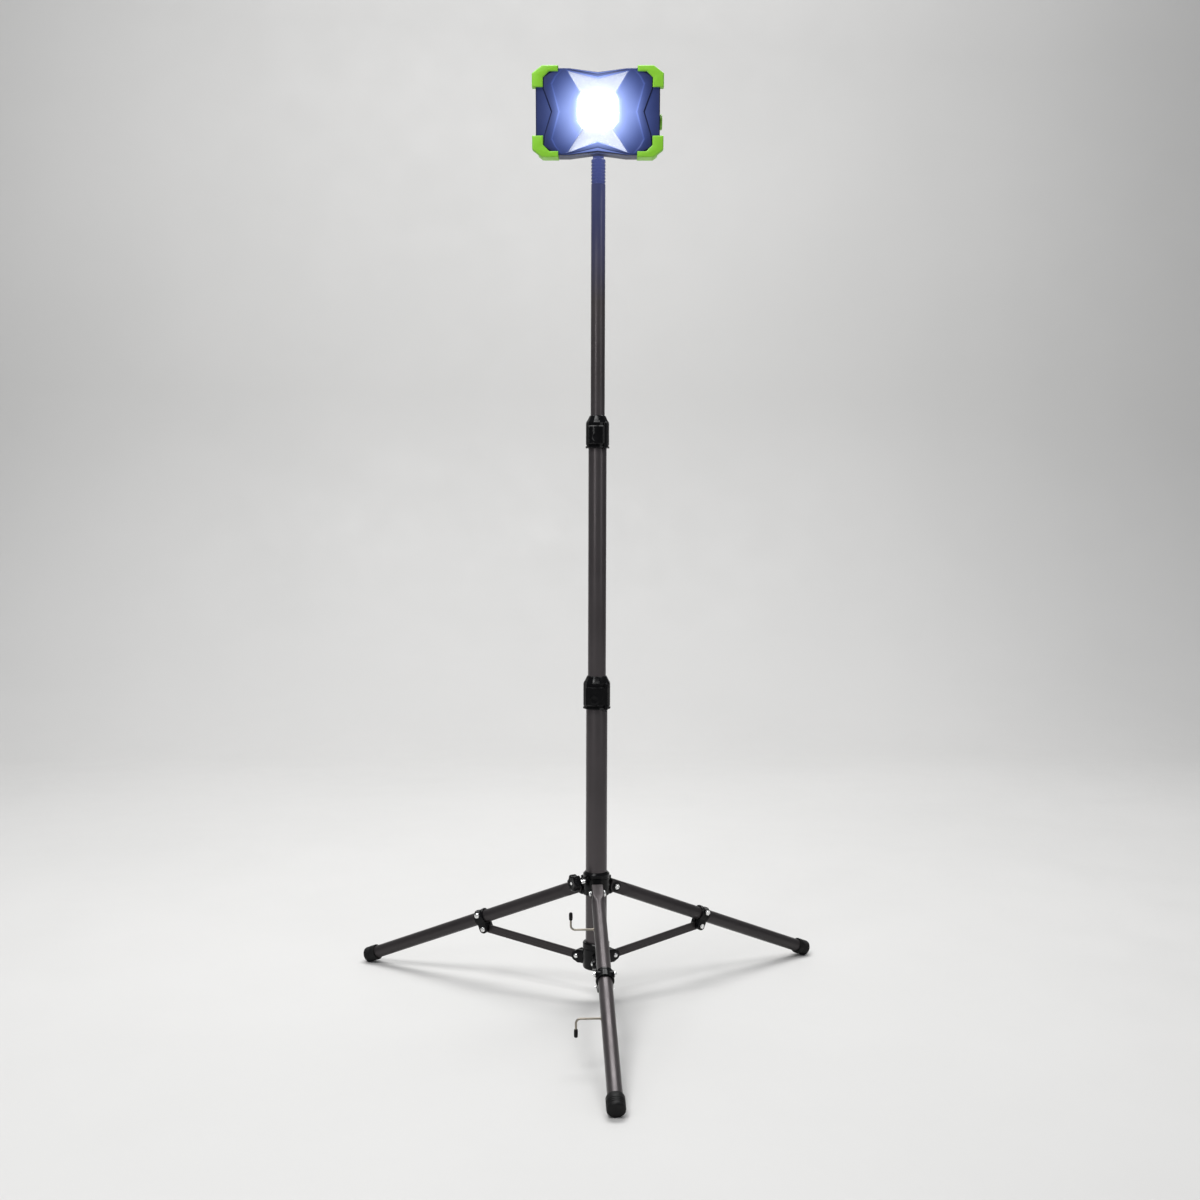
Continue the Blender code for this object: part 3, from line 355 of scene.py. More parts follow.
def bridge(bm, rows, closed=False):
    """Faces between rows of equal counts. closed joins the last row to the first."""
    count = len(rows[0])
    for low, high in zip(rows, rows[1:] + rows[:1] if closed else rows[1:]):
        for i in range(count):
            j = (i + 1) % count
            bm.faces.new((low[i], low[j], high[j], high[i]))


def loft(rings, closed=False):
    """Joins rings of equal counts, and closes both ends or joins them."""
    bm = bmesh.new()
    rows = [[bm.verts.new(p) for p in ring] for ring in rings]
    bridge(bm, rows, closed)
    if not closed:
        bm.faces.new(list(reversed(rows[0])))
        bm.faces.new(rows[-1])
    bmesh.ops.remove_doubles(bm, verts=bm.verts, dist=0.0001)
    bmesh.ops.recalc_face_normals(bm, faces=bm.faces)
    return bm


def lathe(profile, steps=48, closed=False, axis="Z", at=(0, 0, 0), shape=None):
    """Turns (radius, height) points about an axis. shape(angle, radius, height) bends the radius."""
    bm = bmesh.new()
    rows = []
    for radius, height in profile:
        row = []
        for step in range(steps):
            angle = 2.0 * math.pi * step / steps
            reach = shape(angle, radius, height) if shape else radius
            row.append(bm.verts.new((reach * math.cos(angle), reach * math.sin(angle), height)))
        rows.append(row)
    bridge(bm, rows, closed)
    if not closed:
        for row in (rows[0], rows[-1]):
            if (row[0].co - row[steps // 2].co).length > 0.01:
                bm.faces.new(row)
    bmesh.ops.remove_doubles(bm, verts=bm.verts, dist=0.0005)
    return settle(bm, axis, at)


def round_edges(bm, edges, width, segments):
    bmesh.ops.bevel(bm, geom=edges, offset=width, segments=segments, profile=0.5, affect="EDGES",
                    clamp_overlap=True)
    return bm


def soften(bm, width, segments=2, angle=35.0):
    """Rounds the edges that turn more than an angle."""
    limit = math.radians(angle)
    sharp = [e for e in bm.edges if len(e.link_faces) == 2 and e.calc_face_angle(0.0) > limit]
    return round_edges(bm, sharp, width, segments)


def prism(outline, low, high, axis="Z", at=(0, 0, 0), edge=0.0, segments=2):
    """An outline given a thickness. axis Z: outline x, y. Y: x, z. X: y, z."""
    bm = bmesh.new()
    bottom = [bm.verts.new((u, v, low)) for u, v in outline]
    top = [bm.verts.new((u, v, high)) for u, v in outline]
    bridge(bm, [bottom, top])
    bm.faces.new(list(reversed(bottom)))
    bm.faces.new(top)
    bmesh.ops.recalc_face_normals(bm, faces=bm.faces)
    if edge:
        soften(bm, edge, segments)
    return settle(bm, axis, at)


def block(size, at, edge=0.0, segments=2):
    x, y, z = (value / 2.0 for value in size)
    return prism([(-x, -y), (x, -y), (x, y), (-x, y)], -z, z, at=at, edge=edge, segments=segments)


def rod(radius, low, high, axis="Z", at=(0, 0, 0), steps=32, edge=0.0):
    profile = [(0.0, high), (radius - edge, high), (radius, high - edge), (radius, low + edge),
               (radius - edge, low), (0.0, low)]
    if not edge:
        profile = [(0.0, high), (radius, high), (radius, low), (0.0, low)]
    return lathe(profile, steps, axis=axis, at=at)


def sweep(points, radius, sides=16):
    """A round wire along a path. radius may be a list, one for each point."""
    path = [Vector(p) for p in points]
    normal = None
    rings = []
    for index, here in enumerate(path):
        ahead = path[min(index + 1, len(path) - 1)] - path[max(index - 1, 0)]
        along = ahead.normalized()
        if normal is None:
            normal = along.orthogonal().normalized()
        normal = (normal - along * normal.dot(along)).normalized()
        across = along.cross(normal)
        size = radius[index] if isinstance(radius, list) else radius
        ring = []
        for step in range(sides):
            angle = 2.0 * math.pi * step / sides
            ring.append(here + normal * (size * math.cos(angle)) + across * (size * math.sin(angle)))
        rings.append(ring)
    return loft(rings)


def arc(radius, start, end, steps, centre=(0.0, 0.0)):
    made = []
    for step in range(steps + 1):
        angle = math.radians(start + (end - start) * step / steps)
        made.append((centre[0] + radius * math.cos(angle), centre[1] + radius * math.sin(angle)))
    return made


def add_object(name, bm):
    mesh = bpy.data.meshes.new(name)
    bm.to_mesh(mesh)
    bm.free()
    made = bpy.data.objects.new(name, mesh)
    bpy.context.scene.collection.objects.link(made)
    return made


def combine(operation, first, others):
    target = add_object("tool", first)
    tools = [add_object("tool", other) for other in others]
    for other in tools:
        step = target.modifiers.new("step", "BOOLEAN")
        step.operation = operation
        step.solver = "EXACT"
        step.object = other
    graph = bpy.context.evaluated_depsgraph_get()
    mesh = bpy.data.meshes.new_from_object(target.evaluated_get(graph))
    bm = bmesh.new()
    bm.from_mesh(mesh)
    for used in [target] + tools:
        bpy.data.objects.remove(used, do_unlink=True)
    bpy.data.meshes.remove(mesh)
    return bm


def fuse(first, *others):
    return combine("UNION", first, others)


def carve(first, *others):
    return combine("DIFFERENCE", first, others)


def together(*shapes):
    """Several closed shapes as one mesh."""
    bm = bmesh.new()
    for shape in shapes:
        mesh = bpy.data.meshes.new("part")
        shape.to_mesh(mesh)
        shape.free()
        bm.from_mesh(mesh)
        bpy.data.meshes.remove(mesh)
    return bm


def piece(name, bm, place, body, look, nodes=(), crisp=32.0):
    """A finished piece: placed, shaded, given its material, and riding on its body."""
    if not bm.faces:
        raise ValueError(name + " has no faces")
    made = add_object(name, moved(bm, place @ MM))
    made.data.shade_smooth()
    made.data.set_sharp_from_angle(angle=math.radians(crisp))
    material, slot = LOOKS[look]
    made.data.materials.append(material.material)
    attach(made, body)
    if nodes:
        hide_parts(*nodes)
    return made


def replace_node(node, made_how, bm, place, body, look, crisp=32.0):
    """A finished piece that takes a CAD node's place, and is named after it."""
    piece(f"{node}_{made_how}", bm, place, body, look, [node], crisp)


def finish_node(node, look):
    """A CAD node that stays in view takes a better material."""
    made = frame["nodes"][node]
    made.data.materials.clear()
    made.data.materials.append(LOOKS[look][0].material)


# Fasteners ----------------------------------------------------------------------------------
def pan_head(radius, height, at):
    """A domed screw head standing on its seat along Y, with a cross recess."""
    shares = ((0.0, 1.0), (0.45, 0.97), (0.80, 0.78), (0.96, 0.48), (1.0, 0.22), (0.97, 0.0), (0.0, 0.0))
    head = lathe([(radius * across, height * up) for across, up in shares], 32)
    arm, slot = radius * 1.05, radius * 0.20
    recess = [block((*size, height), (0, 0, height * 1.05)) for size in ((arm, slot), (slot, arm))]
    return settle(carve(head, *recess), "Y", at)


def hex_nut(across, height, hole, at):
    """A nut with a locking collar, standing on its seat toward -Y."""
    nut = prism(arc(across / math.sqrt(3.0), 0.0, 300.0, 5), 0.0, height * 0.75, edge=0.25, segments=1)
    collar = lathe([(across * 0.43, height * 0.74), (across * 0.40, height), (hole, height),
                    (hole, height * 0.74)], 32, closed=True)
    return settle(moved(together(nut, collar), Matrix.Scale(-1.0, 4, (0, 0, 1))), "Y", at)


def threaded(radius, low, high, axis="Z", at=(0, 0, 0)):
    """A threaded shank of 1 mm pitch with chamfered ends."""
    pitch = 1.0
    count = max(2, int((high - low - 1.0) / pitch))
    profile = [(0.0, high), (radius - 0.4, high), (radius, high - 0.4)]
    level = high - 0.5
    for _ in range(count):
        profile += [(radius, level), (radius - 0.32, level - pitch * 0.5)]
        level -= pitch
    profile += [(radius, level), (radius, low + 0.4), (radius - 0.4, low), (0.0, low)]
    return lathe(profile, 24, axis=axis, at=at)


# Mast ---------------------------------------------------------------------------------------
TUBE_WALL = 1.1


def tube(name, body, radius, bottom, top, look="paint"):
    inner = radius - TUBE_WALL
    ring = [(radius, top), (radius, bottom), (inner, bottom), (inner, top)]
    replace_node(name, "drawn", lathe(fillet(ring, 0.45, steps=3), 96, closed=True), MAST, body, look)


def clamp(size, body, outer, tube_r, inner_r, bottom, top, tube_top):
    """The lever clamp round a tube's upper end."""
    shoulder = top - 9.5
    lip = outer - 4.8
    flat_turn = math.radians(8.0)
    wedge = 2.0 * math.pi / 12

    def bend(angle, radius, height):
        if radius <= outer - 5.0 or height >= top - 1.0:
            return radius
        off = (angle - flat_turn) % wedge - wedge / 2.0
        return radius * math.cos(wedge / 2.0) / math.cos(off)

    profile = [
        (inner_r + 0.3, top), (lip - 0.6, top), (lip, top - 0.5), (outer - 1.6, shoulder + 3.0),
        (outer - 0.3, shoulder + 1.0), (outer + 0.6, shoulder - 0.8), (outer + 0.8, shoulder - 3.0),
        (outer + 0.8, bottom + 4.6), (outer - 0.4, bottom + 4.2), (outer - 0.4, bottom + 3.2),
        (outer + 1.0, bottom + 2.8), (outer + 1.4, bottom + 0.5), (outer + 1.0, bottom),
        (tube_r + 0.3, bottom), (tube_r + 0.3, tube_top + 0.3), (inner_r + 0.3, tube_top + 0.3),
    ]
    shell = lathe(profile, 96, closed=True, shape=bend)
    pin_turn = math.radians(-53.0)
    pin_r = outer + 1.2
    pin = (pin_r * math.cos(pin_turn), pin_r * math.sin(pin_turn))
    low, high = bottom + 5.5, shoulder - 5.5
    ears = rod(3.4, bottom, shoulder - 1.0, at=(*pin, 0), edge=0.5)
    notch = rod(4.2, low - 0.3, high + 0.3, at=(*pin, 0))
    hole = rod(1.8, bottom - 5.0, top + 5.0, at=(*pin, 0), steps=20)
    split = block((30.0, 1.6, 90.0), (outer + 6.5, 0, (bottom + top) / 2))
    shell = carve(fuse(shell, ears), notch, hole, split)
    replace_node(f"collar_{size}", "moulded", shell, MAST, body, "black", crisp=14.0)

    pin_low, pin_high = bottom - 3.4, shoulder + 0.4
    pin_profile = [(0.0, pin_high), (1.1, pin_high), (1.5, pin_high - 0.4), (1.5, pin_low + 0.4),
                   (1.1, pin_low), (0.0, pin_low)]
    replace_node(f"lever_pin_{size}", "turned", lathe(pin_profile, 20, at=(*pin, 0)), MAST, body, "blued")
    return pin, low, high


def lever(size, body, outer, pin, low, high):
    """A curved lever with a dished oval for the thumb and a lip at its free end."""
    start, end, columns, rows = -136.0, -60.0, 44, 26
    outside, inside = [], []
    for row in range(rows + 1):
        v = row / rows
        z = low + 0.3 + (high - low - 0.6) * v
        line_out, line_in = [], []
        for column in range(columns + 1):
            u = column / columns
            angle = math.radians(start + (end - start) * u)
            edge = min(1.0, min(v, 1.0 - v) / 0.05)
            thick = 2.9 * (0.62 + 0.38 * math.sqrt(max(0.0, 1.0 - (1.0 - edge) ** 2)))
            thick += 1.1 * max(0.0, 1.0 - u / 0.10) ** 2
            oval = math.hypot((u - 0.44) / 0.24, (v - 0.36) / 0.27)
            if oval < 1.0:
                thick += 0.35 * (1.0 - oval ** 4) - 0.55 * max(0.0, 1.0 - (oval / 0.78) ** 2)
            reach = outer + 0.7 + thick
            line_out.append((reach * math.cos(angle), reach * math.sin(angle), z))
            line_in.append(((outer + 0.7) * math.cos(angle), (outer + 0.7) * math.sin(angle), z))
        outside.append(line_out)
        inside.append(line_in)
    rings = [front + list(reversed(back)) for front, back in zip(outside, inside)]
    panel = loft(rings)
    barrel = rod(3.4, low + 0.3, high - 0.3, at=(*pin, 0), edge=0.4)
    bore = rod(1.8, low - 4.0, high + 4.0, at=(*pin, 0), steps=20)
    replace_node(f"lever_{size}", "moulded", carve(fuse(panel, barrel), bore), MAST, body, "black",
          crisp=38.0)


def build_mast():
    tube("mast_tube_lower", "base", 16.0, 54.5, 470.0)
    tube("mast_tube_middle", "middle_section", 13.5, 388.0, 858.0)
    # The upper tube carries the painted blue spill from the lamp.
    tube("mast_tube_upper", "upper_section", 10.5, 776.0, 1221.7, "spill_painted_gunmetal")
    for size, body, lever_body, outer, tube_r, inner_r, bottom, top, tube_top in (
        ("lower", "base", "lower_lever", 19.8, 16.0, 13.5, 448.0, 497.0, 470.0),
        ("upper", "middle_section", "upper_lever", 16.8, 13.5, 10.5, 836.5, 884.5, 858.0),
    ):
        pin, low, high = clamp(size, body, outer, tube_r, inner_r, bottom, top, tube_top)
        lever(size, lever_body, outer, pin, low, high)
    for node in ("bush_middle", "bush_upper"):
        finish_node(node, "black")


# Hubs ---------------------------------------------------------------------------------------
HUB_PIVOT = (31.0, 173.5)
LOWER_PIVOT = (30.9, 66.9)
KNOB_TURN, KNOB_Z = 210.0, 187.0
CLAMP_STATION, CLAMP_DROP = 184.0, 17.4


def pivot_place(side, pivot):
    """The place of a hub pivot from its reach and its height."""
    return radial(AZIMUTH[side]) @ shift(pivot[0] * 0.001, 0.0, pivot[1] * 0.001)


def radial(azimuth):
    return MAST @ turn("Z", azimuth)


def spun(bm, azimuth):
    return moved(bm, turn("Z", azimuth))


def build_upper_hub():
    ring = [(0.0, 200.0), (17.2, 200.0), (20.0, 197.0), (20.0, 192.6), (19.2, 192.0), (19.2, 190.8),
            (20.0, 190.2), (20.0, 166.0), (19.2, 165.0), (0.0, 165.0)]
    hub = lathe(ring, 96)
    solids, cuts = [], []
    for side in SIDES:
        azimuth = AZIMUTH[side]
        outline = [(17.5, 163.0), (23.3, 163.0)] + arc(7.2, -90.0, 90.0, 20, HUB_PIVOT)
        outline += [(23.3, 180.7), (23.3, 192.0), (17.5, 192.0)]
        solids.append(spun(prism(outline, -5.7, 5.7, "Y", edge=0.5), azimuth))
        cuts.append(spun(rod(2.8, -10.0, 10.0, "Y", (HUB_PIVOT[0], 0, HUB_PIVOT[1]), 24), azimuth))
        for way in (-1, 1):
            cuts.append(spun(block((3.4, 2.0, 9.0), (21.4, way * 5.6, 186.0), 0.0), azimuth))
    solids.append(spun(rod(6.2, 15.0, 22.0, "X", (0, 0, KNOB_Z), edge=0.5), KNOB_TURN))
    cuts.append(rod(16.3, 100.0, 250.0, steps=96))
    cuts.append(spun(rod(3.3, 10.0, 45.0, "X", (0, 0, KNOB_Z), 24), KNOB_TURN))
    hub = carve(fuse(hub, *solids), *cuts)
    replace_node("upper_hub", "moulded", hub, MAST, "hub_slider", "black")
    for side in SIDES:
        bolt = together(
            rod(2.5, -9.4, 9.4, "Y", steps=24),
            lathe([(0.0, 9.9), (5.2, 9.9), (5.4, 9.7), (5.4, 9.1), (0.0, 9.1)], 32, axis="Y"),
            pan_head(4.6, 3.0, (0, 9.8, 0)),
            hex_nut(7.6, 3.4, 2.4, (0, -9.2, 0)),
        )
        place = pivot_place(side, HUB_PIVOT)
        rim = [(7.4, 9.2), (7.4, 8.7), (3.0, 8.7), (3.0, 9.2)]
        rims = [[(radius, way * y) for radius, y in rim] for way in (-1, 1)]
        spacers = together(*[lathe(rim, 40, closed=True, axis="Y") for rim in rims])
        piece(f"hub_spacers_{side}", spacers, place, "hub_slider", "black")
        replace_node(f"hub_bolt_{side}", "turned", bolt, place, "hub_slider", "steel")


def build_knob():
    """A lobed hand knob with a domed face and a threaded screw."""
    place = radial(KNOB_TURN) @ shift(0.033, 0.0, KNOB_Z * 0.001)
    rings = []
    for x, grow in ((0.3, -1.2), (0.9, -0.4), (1.8, 0.0), (9.6, 0.1), (11.2, -0.5), (12.0, -1.8),
                    (12.3, -4.0), (11.7, -5.5), (11.5, -8.6)):
        ring = []
        for step in range(96):
            angle = 2.0 * math.pi * step / 96
            lobe = max(0.0, 1.0 + grow / 4.0)
            reach = 11.8 + grow + 1.4 * lobe * math.cos(6.0 * angle)
            ring.append((x, reach * math.cos(angle), reach * math.sin(angle)))
        rings.append(ring)
    replace_node("hub_knob", "moulded", loft(rings), place, "locking_knob", "black")
    screw = together(
        threaded(3.0, -16.4, 0.2, "X"),
        lathe([(0.0, 12.4), (2.0, 12.4), (2.4, 12.0), (2.4, 11.2), (0.0, 11.2)], 24, axis="X"),
        lathe([(4.4, 0.2), (4.6, 0.0), (4.6, -1.4), (3.0, -1.8), (0.0, -1.8), (0.0, 0.2)], 32, axis="X"),
    )
    replace_node("hub_knob_screw", "threaded", screw, place, "locking_knob", "steel")


def build_lower_hub():
    ring = [(0.0, 92.0), (19.0, 92.0), (20.3, 90.6), (20.3, 84.4), (19.5, 83.8), (19.5, 82.6), (20.3, 82.0),
            (20.3, 55.5), (19.4, 52.8), (17.2, 51.2), (14.0, 51.0), (0.0, 51.0)]
    hub = lathe(ring, 96)
    solids, cuts = [], []
    for side in SIDES:
        azimuth = AZIMUTH[side]
        outline = [(17.5, 56.9), (28.5, 56.9)] + arc(7.8, -75.0, 75.0, 20, LOWER_PIVOT)
        outline += [(28.5, 76.9), (17.5, 76.9)]
        solids.append(spun(prism(outline, -7.5, 7.5, "Y", edge=0.6), azimuth))
        cuts.append(spun(block((30.0, 4.4, 31.0), (31.4, 0, 64.5)), azimuth))
        cuts.append(spun(rod(2.5, -12.0, 12.0, "Y", (LOWER_PIVOT[0], 0, LOWER_PIVOT[1]), 24), azimuth))
    cuts.append(rod(16.3, 54.2, 120.0, steps=96))
    replace_node("lower_hub", "moulded", carve(fuse(hub, *solids), *cuts), MAST, "base", "black")
    half = 7.7
    end = [(0.0, half + 2.0), (1.4, half + 1.85), (2.7, half + 1.2), (3.5, half), (2.1, half)]
    for side in SIDES:
        rivet = lathe(end + [(radius, -y) for radius, y in reversed(end)], 32, axis="Y")
        piece(f"lower_hub_rivet_{side}", rivet, pivot_place(side, LOWER_PIVOT), "base", "steel")


# Legs ---------------------------------------------------------------------------------------
def rounded_box(half_y, half_z, radius, x):
    """A ring round the X axis, from a circle to a rounded box, always the same count."""
    ring, steps = [], 8
    for centre_y, centre_z, start in ((1, 1, 0.0), (-1, 1, 90.0), (-1, -1, 180.0), (1, -1, 270.0)):
        for step in range(steps + 1):
            angle = math.radians(start + 90.0 * step / steps)
            y = centre_y * (half_y - radius) + radius * math.cos(angle)
            z = centre_z * (half_z - radius) + radius * math.sin(angle)
            ring.append((x, y, z))
    return ring


def build_leg_tube(side):
    """The tube, pressed square at its upper end and slotted over the hub's tongue."""
    rings = [rounded_box(8.0, 9.0, 1.4, -10.0), rounded_box(8.6, 9.6, 1.7, -9.3)]
    rings += [rounded_box(8.6, 9.6, 1.8, x) for x in (-4.0, 6.0, 13.0)]
    for step in range(1, 11):
        t = step / 10.0
        ease = t * t * (3.0 - 2.0 * t)
        half_y = 8.6 + 1.4 * ease
        half_z = 9.6 + 0.4 * ease
        rings.append(rounded_box(half_y, half_z, 1.8 + 8.199 * ease, 13.0 + 16.0 * t))
    rings += [rounded_box(10.0, 10.0, 9.999, x) for x in (120.0, 260.0, 400.0, 409.6)]
    rings.append(rounded_box(9.6, 9.6, 9.599, 410.0))
    body = loft(rings)
    slot = block((24.0, 12.2, 24.0), (-1.0, 0, -4.4))
    bore = rod(8.9, 35.0, 440.0, "X", steps=48)
    hole = rod(2.8, -15.0, 15.0, "Y", steps=24)
    heel = carve(block((14.0, 30.0, 14.0), (-7.0, 0, -7.0)), rod(10.0, -20.0, 20.0, "Y", steps=48))
    leg = carve(body, slot, bore, hole, heel)
    # The side legs take the half-bright copy of the gunmetal: painted shade.
    look = "paint" if side == "front" else "gunmetal_painted_shade"
    replace_node(f"leg_{side}", "drawn", leg, LEG[side], f"{side}_leg", look)


def build_foot(side):
    """A ribbed rubber cap, flat where it meets the floor."""
    profile = [(0.0, 424.5), (8.6, 424.5), (10.9, 424.0), (12.0, 422.8), (12.4, 421.0)]
    for x in (418.6, 415.6, 412.6):
        profile += [(12.4, x), (11.9, x - 0.5), (11.9, x - 1.1), (12.4, x - 1.6)]
    profile += [(12.4, 403.2), (11.9, 402.2), (10.3, 402.0), (10.3, 410.5), (0.0, 410.5)]
    cap = moved(lathe(profile, 64, axis="X"), LEG[side] @ MM)
    cut = bmesh.ops.bisect_plane(cap, geom=cap.verts[:] + cap.edges[:] + cap.faces[:], dist=1e-7,
                                 plane_co=(0, 0, 0), plane_no=(0, 0, -1), clear_outer=True)
    rim = [e for e in cut["geom_cut"] if isinstance(e, bmesh.types.BMEdge)]
    bmesh.ops.holes_fill(cap, edges=rim)
    moved(cap, (LEG[side] @ MM).inverted())
    replace_node(f"foot_{side}", "cap", cap, LEG[side], f"{side}_leg", "rubber")


def build_leg_clamp(side):
    station, drop, rise = CLAMP_STATION, CLAMP_DROP, 5.6
    half_ring = [(0.0, 8.0), (12.2, 8.0), (13.0, 7.2), (13.0, 4.0), (12.5, 3.4)]
    ring_profile = [(radius, station + x) for radius, x in half_ring]
    ring_profile += [(radius, station - x) for radius, x in reversed(half_ring)]
    ring = lathe(ring_profile, 64, axis="X")
    boss = rod(5.2, -13.0, 13.0, "Y", (station, 0, rise), 40, edge=0.6)
    outline = arc(7.0, 180.0, 360.0, 20, (station, -drop)) + [(station + 7.0, -5.5), (station - 7.0, -5.5)]
    lug = prism(outline, -10.0, 10.0, "Y", edge=0.6)
    bore = rod(10.3, 150.0, 220.0, "X", steps=64)
    slot = block((40.0, 3.4, 20.0), (station, 0, -20.4))
    hole = rod(2.5, -15.0, 15.0, "Y", (station, 0, -drop), 24)
    body = carve(fuse(ring, boss, lug), bore, slot, hole)
    replace_node(f"leg_clamp_{side}", "moulded", body, LEG[side], f"{side}_leg", "black")
    upper = together(
        pan_head(4.3, 3.3, (station, 13.1, rise)),
        hex_nut(7.6, 3.3, 2.2, (station, -13.1, rise)),
    )
    piece(f"clamp_cross_bolt_{side}", upper, LEG[side], f"{side}_leg", "steel")
    lower = together(
        rod(2.2, -10.3, 10.3, "Y", (station, 0, -drop), 24),
        pan_head(4.0, 2.8, (station, 10.2, -drop)),
        hex_nut(7.0, 2.9, 2.0, (station, -10.2, -drop)),
    )
    replace_node(f"clamp_bolt_{side}", "turned", lower, LEG[side], f"{side}_leg", "steel")


def build_brace(side):
    """A flat bar with a bead pressed along it."""
    clamp_at = LEG[side] @ Vector((CLAMP_STATION * 0.001, 0.0, -CLAMP_DROP * 0.001))
    hub_at = pivot_place(side, LOWER_PIVOT).translation
    reach = hub_at - clamp_at
    length = reach.length * 1000.0
    along = reach.normalized()
    across = (LEG[side].to_3x3() @ Vector((0, 1, 0))).normalized()
    up = along.cross(across)
    place = Matrix.Identity(4)
    for column, axis in enumerate((along, across, up)):
        for row in range(3):
            place[row][column] = axis[row]
    place.translation = clamp_at
    outline = arc(6.5, 90.0, 270.0, 20) + arc(6.5, -90.0, 90.0, 20, (length, 0.0))
    bar = prism(outline, -1.3, 1.3, "Y", edge=0.35)
    groove = arc(1.7, 90.0, 270.0, 8, (14.0, 0.0)) + arc(1.7, -90.0, 90.0, 8, (length - 14.0, 0.0))
    grooves = [prism(groove, way * 1.3 - 0.35, way * 1.3 + 0.35, "Y") for way in (-1, 1)]
    holes = [rod(2.5, -5.0, 5.0, "Y", (x, 0, 0), 24) for x in (0.0, length)]
    bar = carve(bar, *grooves, *holes)
    # The brace takes the half-bright copy of the gunmetal: painted shade.
    replace_node(f"brace_{side}", "pressed", bar, place, f"{side}_brace", "gunmetal_painted_shade")


def build_hooks():
    """Two bent wires on the front leg, each with a dipped tip."""
    slope = math.radians(SLOPE)
    up = Vector((-math.sin(slope), 0.0, math.cos(slope)))
    for level, station, way in (("upper", 82.0, 1.0), ("lower", 263.0, -1.0)):
        bend, rise, reach = 6.0, 16.0, 43.0
        elbow = Vector((station, -reach, 0.0))
        corner = elbow + Vector((0, bend, 0)) + up * (bend * way)
        path = [Vector((station, y, 0.0)) for y in (-10.1, -16.0, -26.0)]
        for step in range(13):
            angle = math.radians(90.0 * step / 12)
            out, back = bend * math.sin(angle), way * bend * math.cos(angle)
            path.append(corner - Vector((0, out, 0)) - up * back)
        end = path[-1] + up * (way * (rise - bend))
        path.append(end)
        collar = sweep([(station, -9.9, 0), (station, -10.4, 0), (station, -10.9, 0)], [2.6, 2.5, 1.6], 24)
        wire = together(sweep(path, 1.5, 20), collar)
        replace_node(f"cable_hook_{level}", "bent", wire, LEG["front"], "front_leg", "wire")
        start = end - up * (way * 2.2)
        sizes = [1.9, 2.35, 2.6, 2.7, 2.7, 2.5, 1.9, 0.9]
        reach_up = [0.0, 0.6, 2.0, 4.5, 8.2, 10.2, 11.2, 11.6]
        tip = sweep([start + up * (way * distance) for distance in reach_up], sizes, 24)
        replace_node(f"hook_tip_{level}", "dipped", tip, LEG["front"], "front_leg", "rubber")


def build_legs():
    for side in SIDES:
        build_leg_tube(side)
        build_foot(side)
        build_leg_clamp(side)
        build_brace(side)
    build_hooks()


# Mast top and bracket -----------------------------------------------------------------------
TILT_Z = 1289.0
TONGUE_Y, TONGUE_DEPTH = -5.7, 8.2


def build_mast_top():
    """The ribbed adapter and its tongue."""
    top, bottom, count = 1258.5, 1222.0, 7
    pitch = (top - 3.0 - bottom) / count
    profile = [(0.0, top), (9.2, top), (10.5, top - 1.3)]
    for index in range(count):
        level = top - 2.6 - index * pitch
        profile += [(10.5, level), (10.5, level - pitch * 0.50), (9.4, level - pitch * 0.62),
                    (9.4, level - pitch * 0.88)]
    profile += [(10.5, bottom + 0.5), (10.2, bottom), (9.0, bottom), (9.0, 1199.0), (8.2, 1198.0),
                (0.0, 1198.0)]
    adapter = lathe(profile, 72)
    half = TONGUE_DEPTH / 2.0
    outline = [(-8.0, 1255.0), (8.0, 1255.0)] + arc(8.0, 0.0, 180.0, 24, (0.0, 1305.0))
    tongue = prism(outline, TONGUE_Y, TONGUE_Y + TONGUE_DEPTH, "Y", edge=0.6)
    web = block((3.0, half * 2 + 4.0, 26.0), (0.0, TONGUE_Y + half, 1262.0), 0.5)
    hole = rod(3.3, -30.0, 30.0, "Y", (0, 0, TILT_Z), 32)
    body = carve(fuse(adapter, tongue, web), hole)
    # The adapter carries the painted blue spill from the lamp on its forward faces.
    replace_node("mast_adapter", "moulded", body, SWIVEL, "bracket", "spill_painted_black")

    bolt = together(
        prism(arc(6.2, 0.0, 300.0, 5), -11.9, -8.9, "Y", (0, 0, TILT_Z), edge=0.3, segments=1),
        lathe([(0.0, -8.2), (6.0, -8.2), (6.0, -9.0), (0.0, -9.0)], 32, axis="Y", at=(0, 0, TILT_Z)),
        threaded(3.0, -8.4, 12.9, "Y", (0, 0, TILT_Z)),
    )
    replace_node("bracket_bolt", "hex", bolt, SWIVEL, "bracket", "steel")

    nut_profile = [(0.0, 11.8), (4.6, 11.8), (5.4, 11.1), (6.5, 4.5), (6.9, 3.4), (6.5, 2.8), (0.0, 2.8)]
    nut = lathe(nut_profile, 40, axis="Y", at=(0, 0, TILT_Z))
    wings = []
    for hand in (1.0, -1.0):
        outline = fillet([(3.0, -2.8), (15.0, 0.6), (17.2, 4.6), (14.4, 8.4), (3.0, 4.2)], [0, 3, 3, 3, 0])
        outline = [(hand * x, hand * z) for x, z in outline]
        wings.append(prism(outline, 5.1, 10.7, "Y", (0, 0, TILT_Z), edge=1.3, segments=3))
    bore = rod(3.2, 0.0, 30.0, "Y", (0, 0, TILT_Z), 32)
    replace_node("wing_nut", "moulded", carve(fuse(nut, *wings), bore), SWIVEL, "wing_nut", "black")


def cap_grip(angle, radius, height):
    """Twelve shallow flutes round the pivot cap's rim."""
    return radius * (0.965 if radius > 9.0 and math.cos(12.0 * angle) > 0.4 else 1.0)


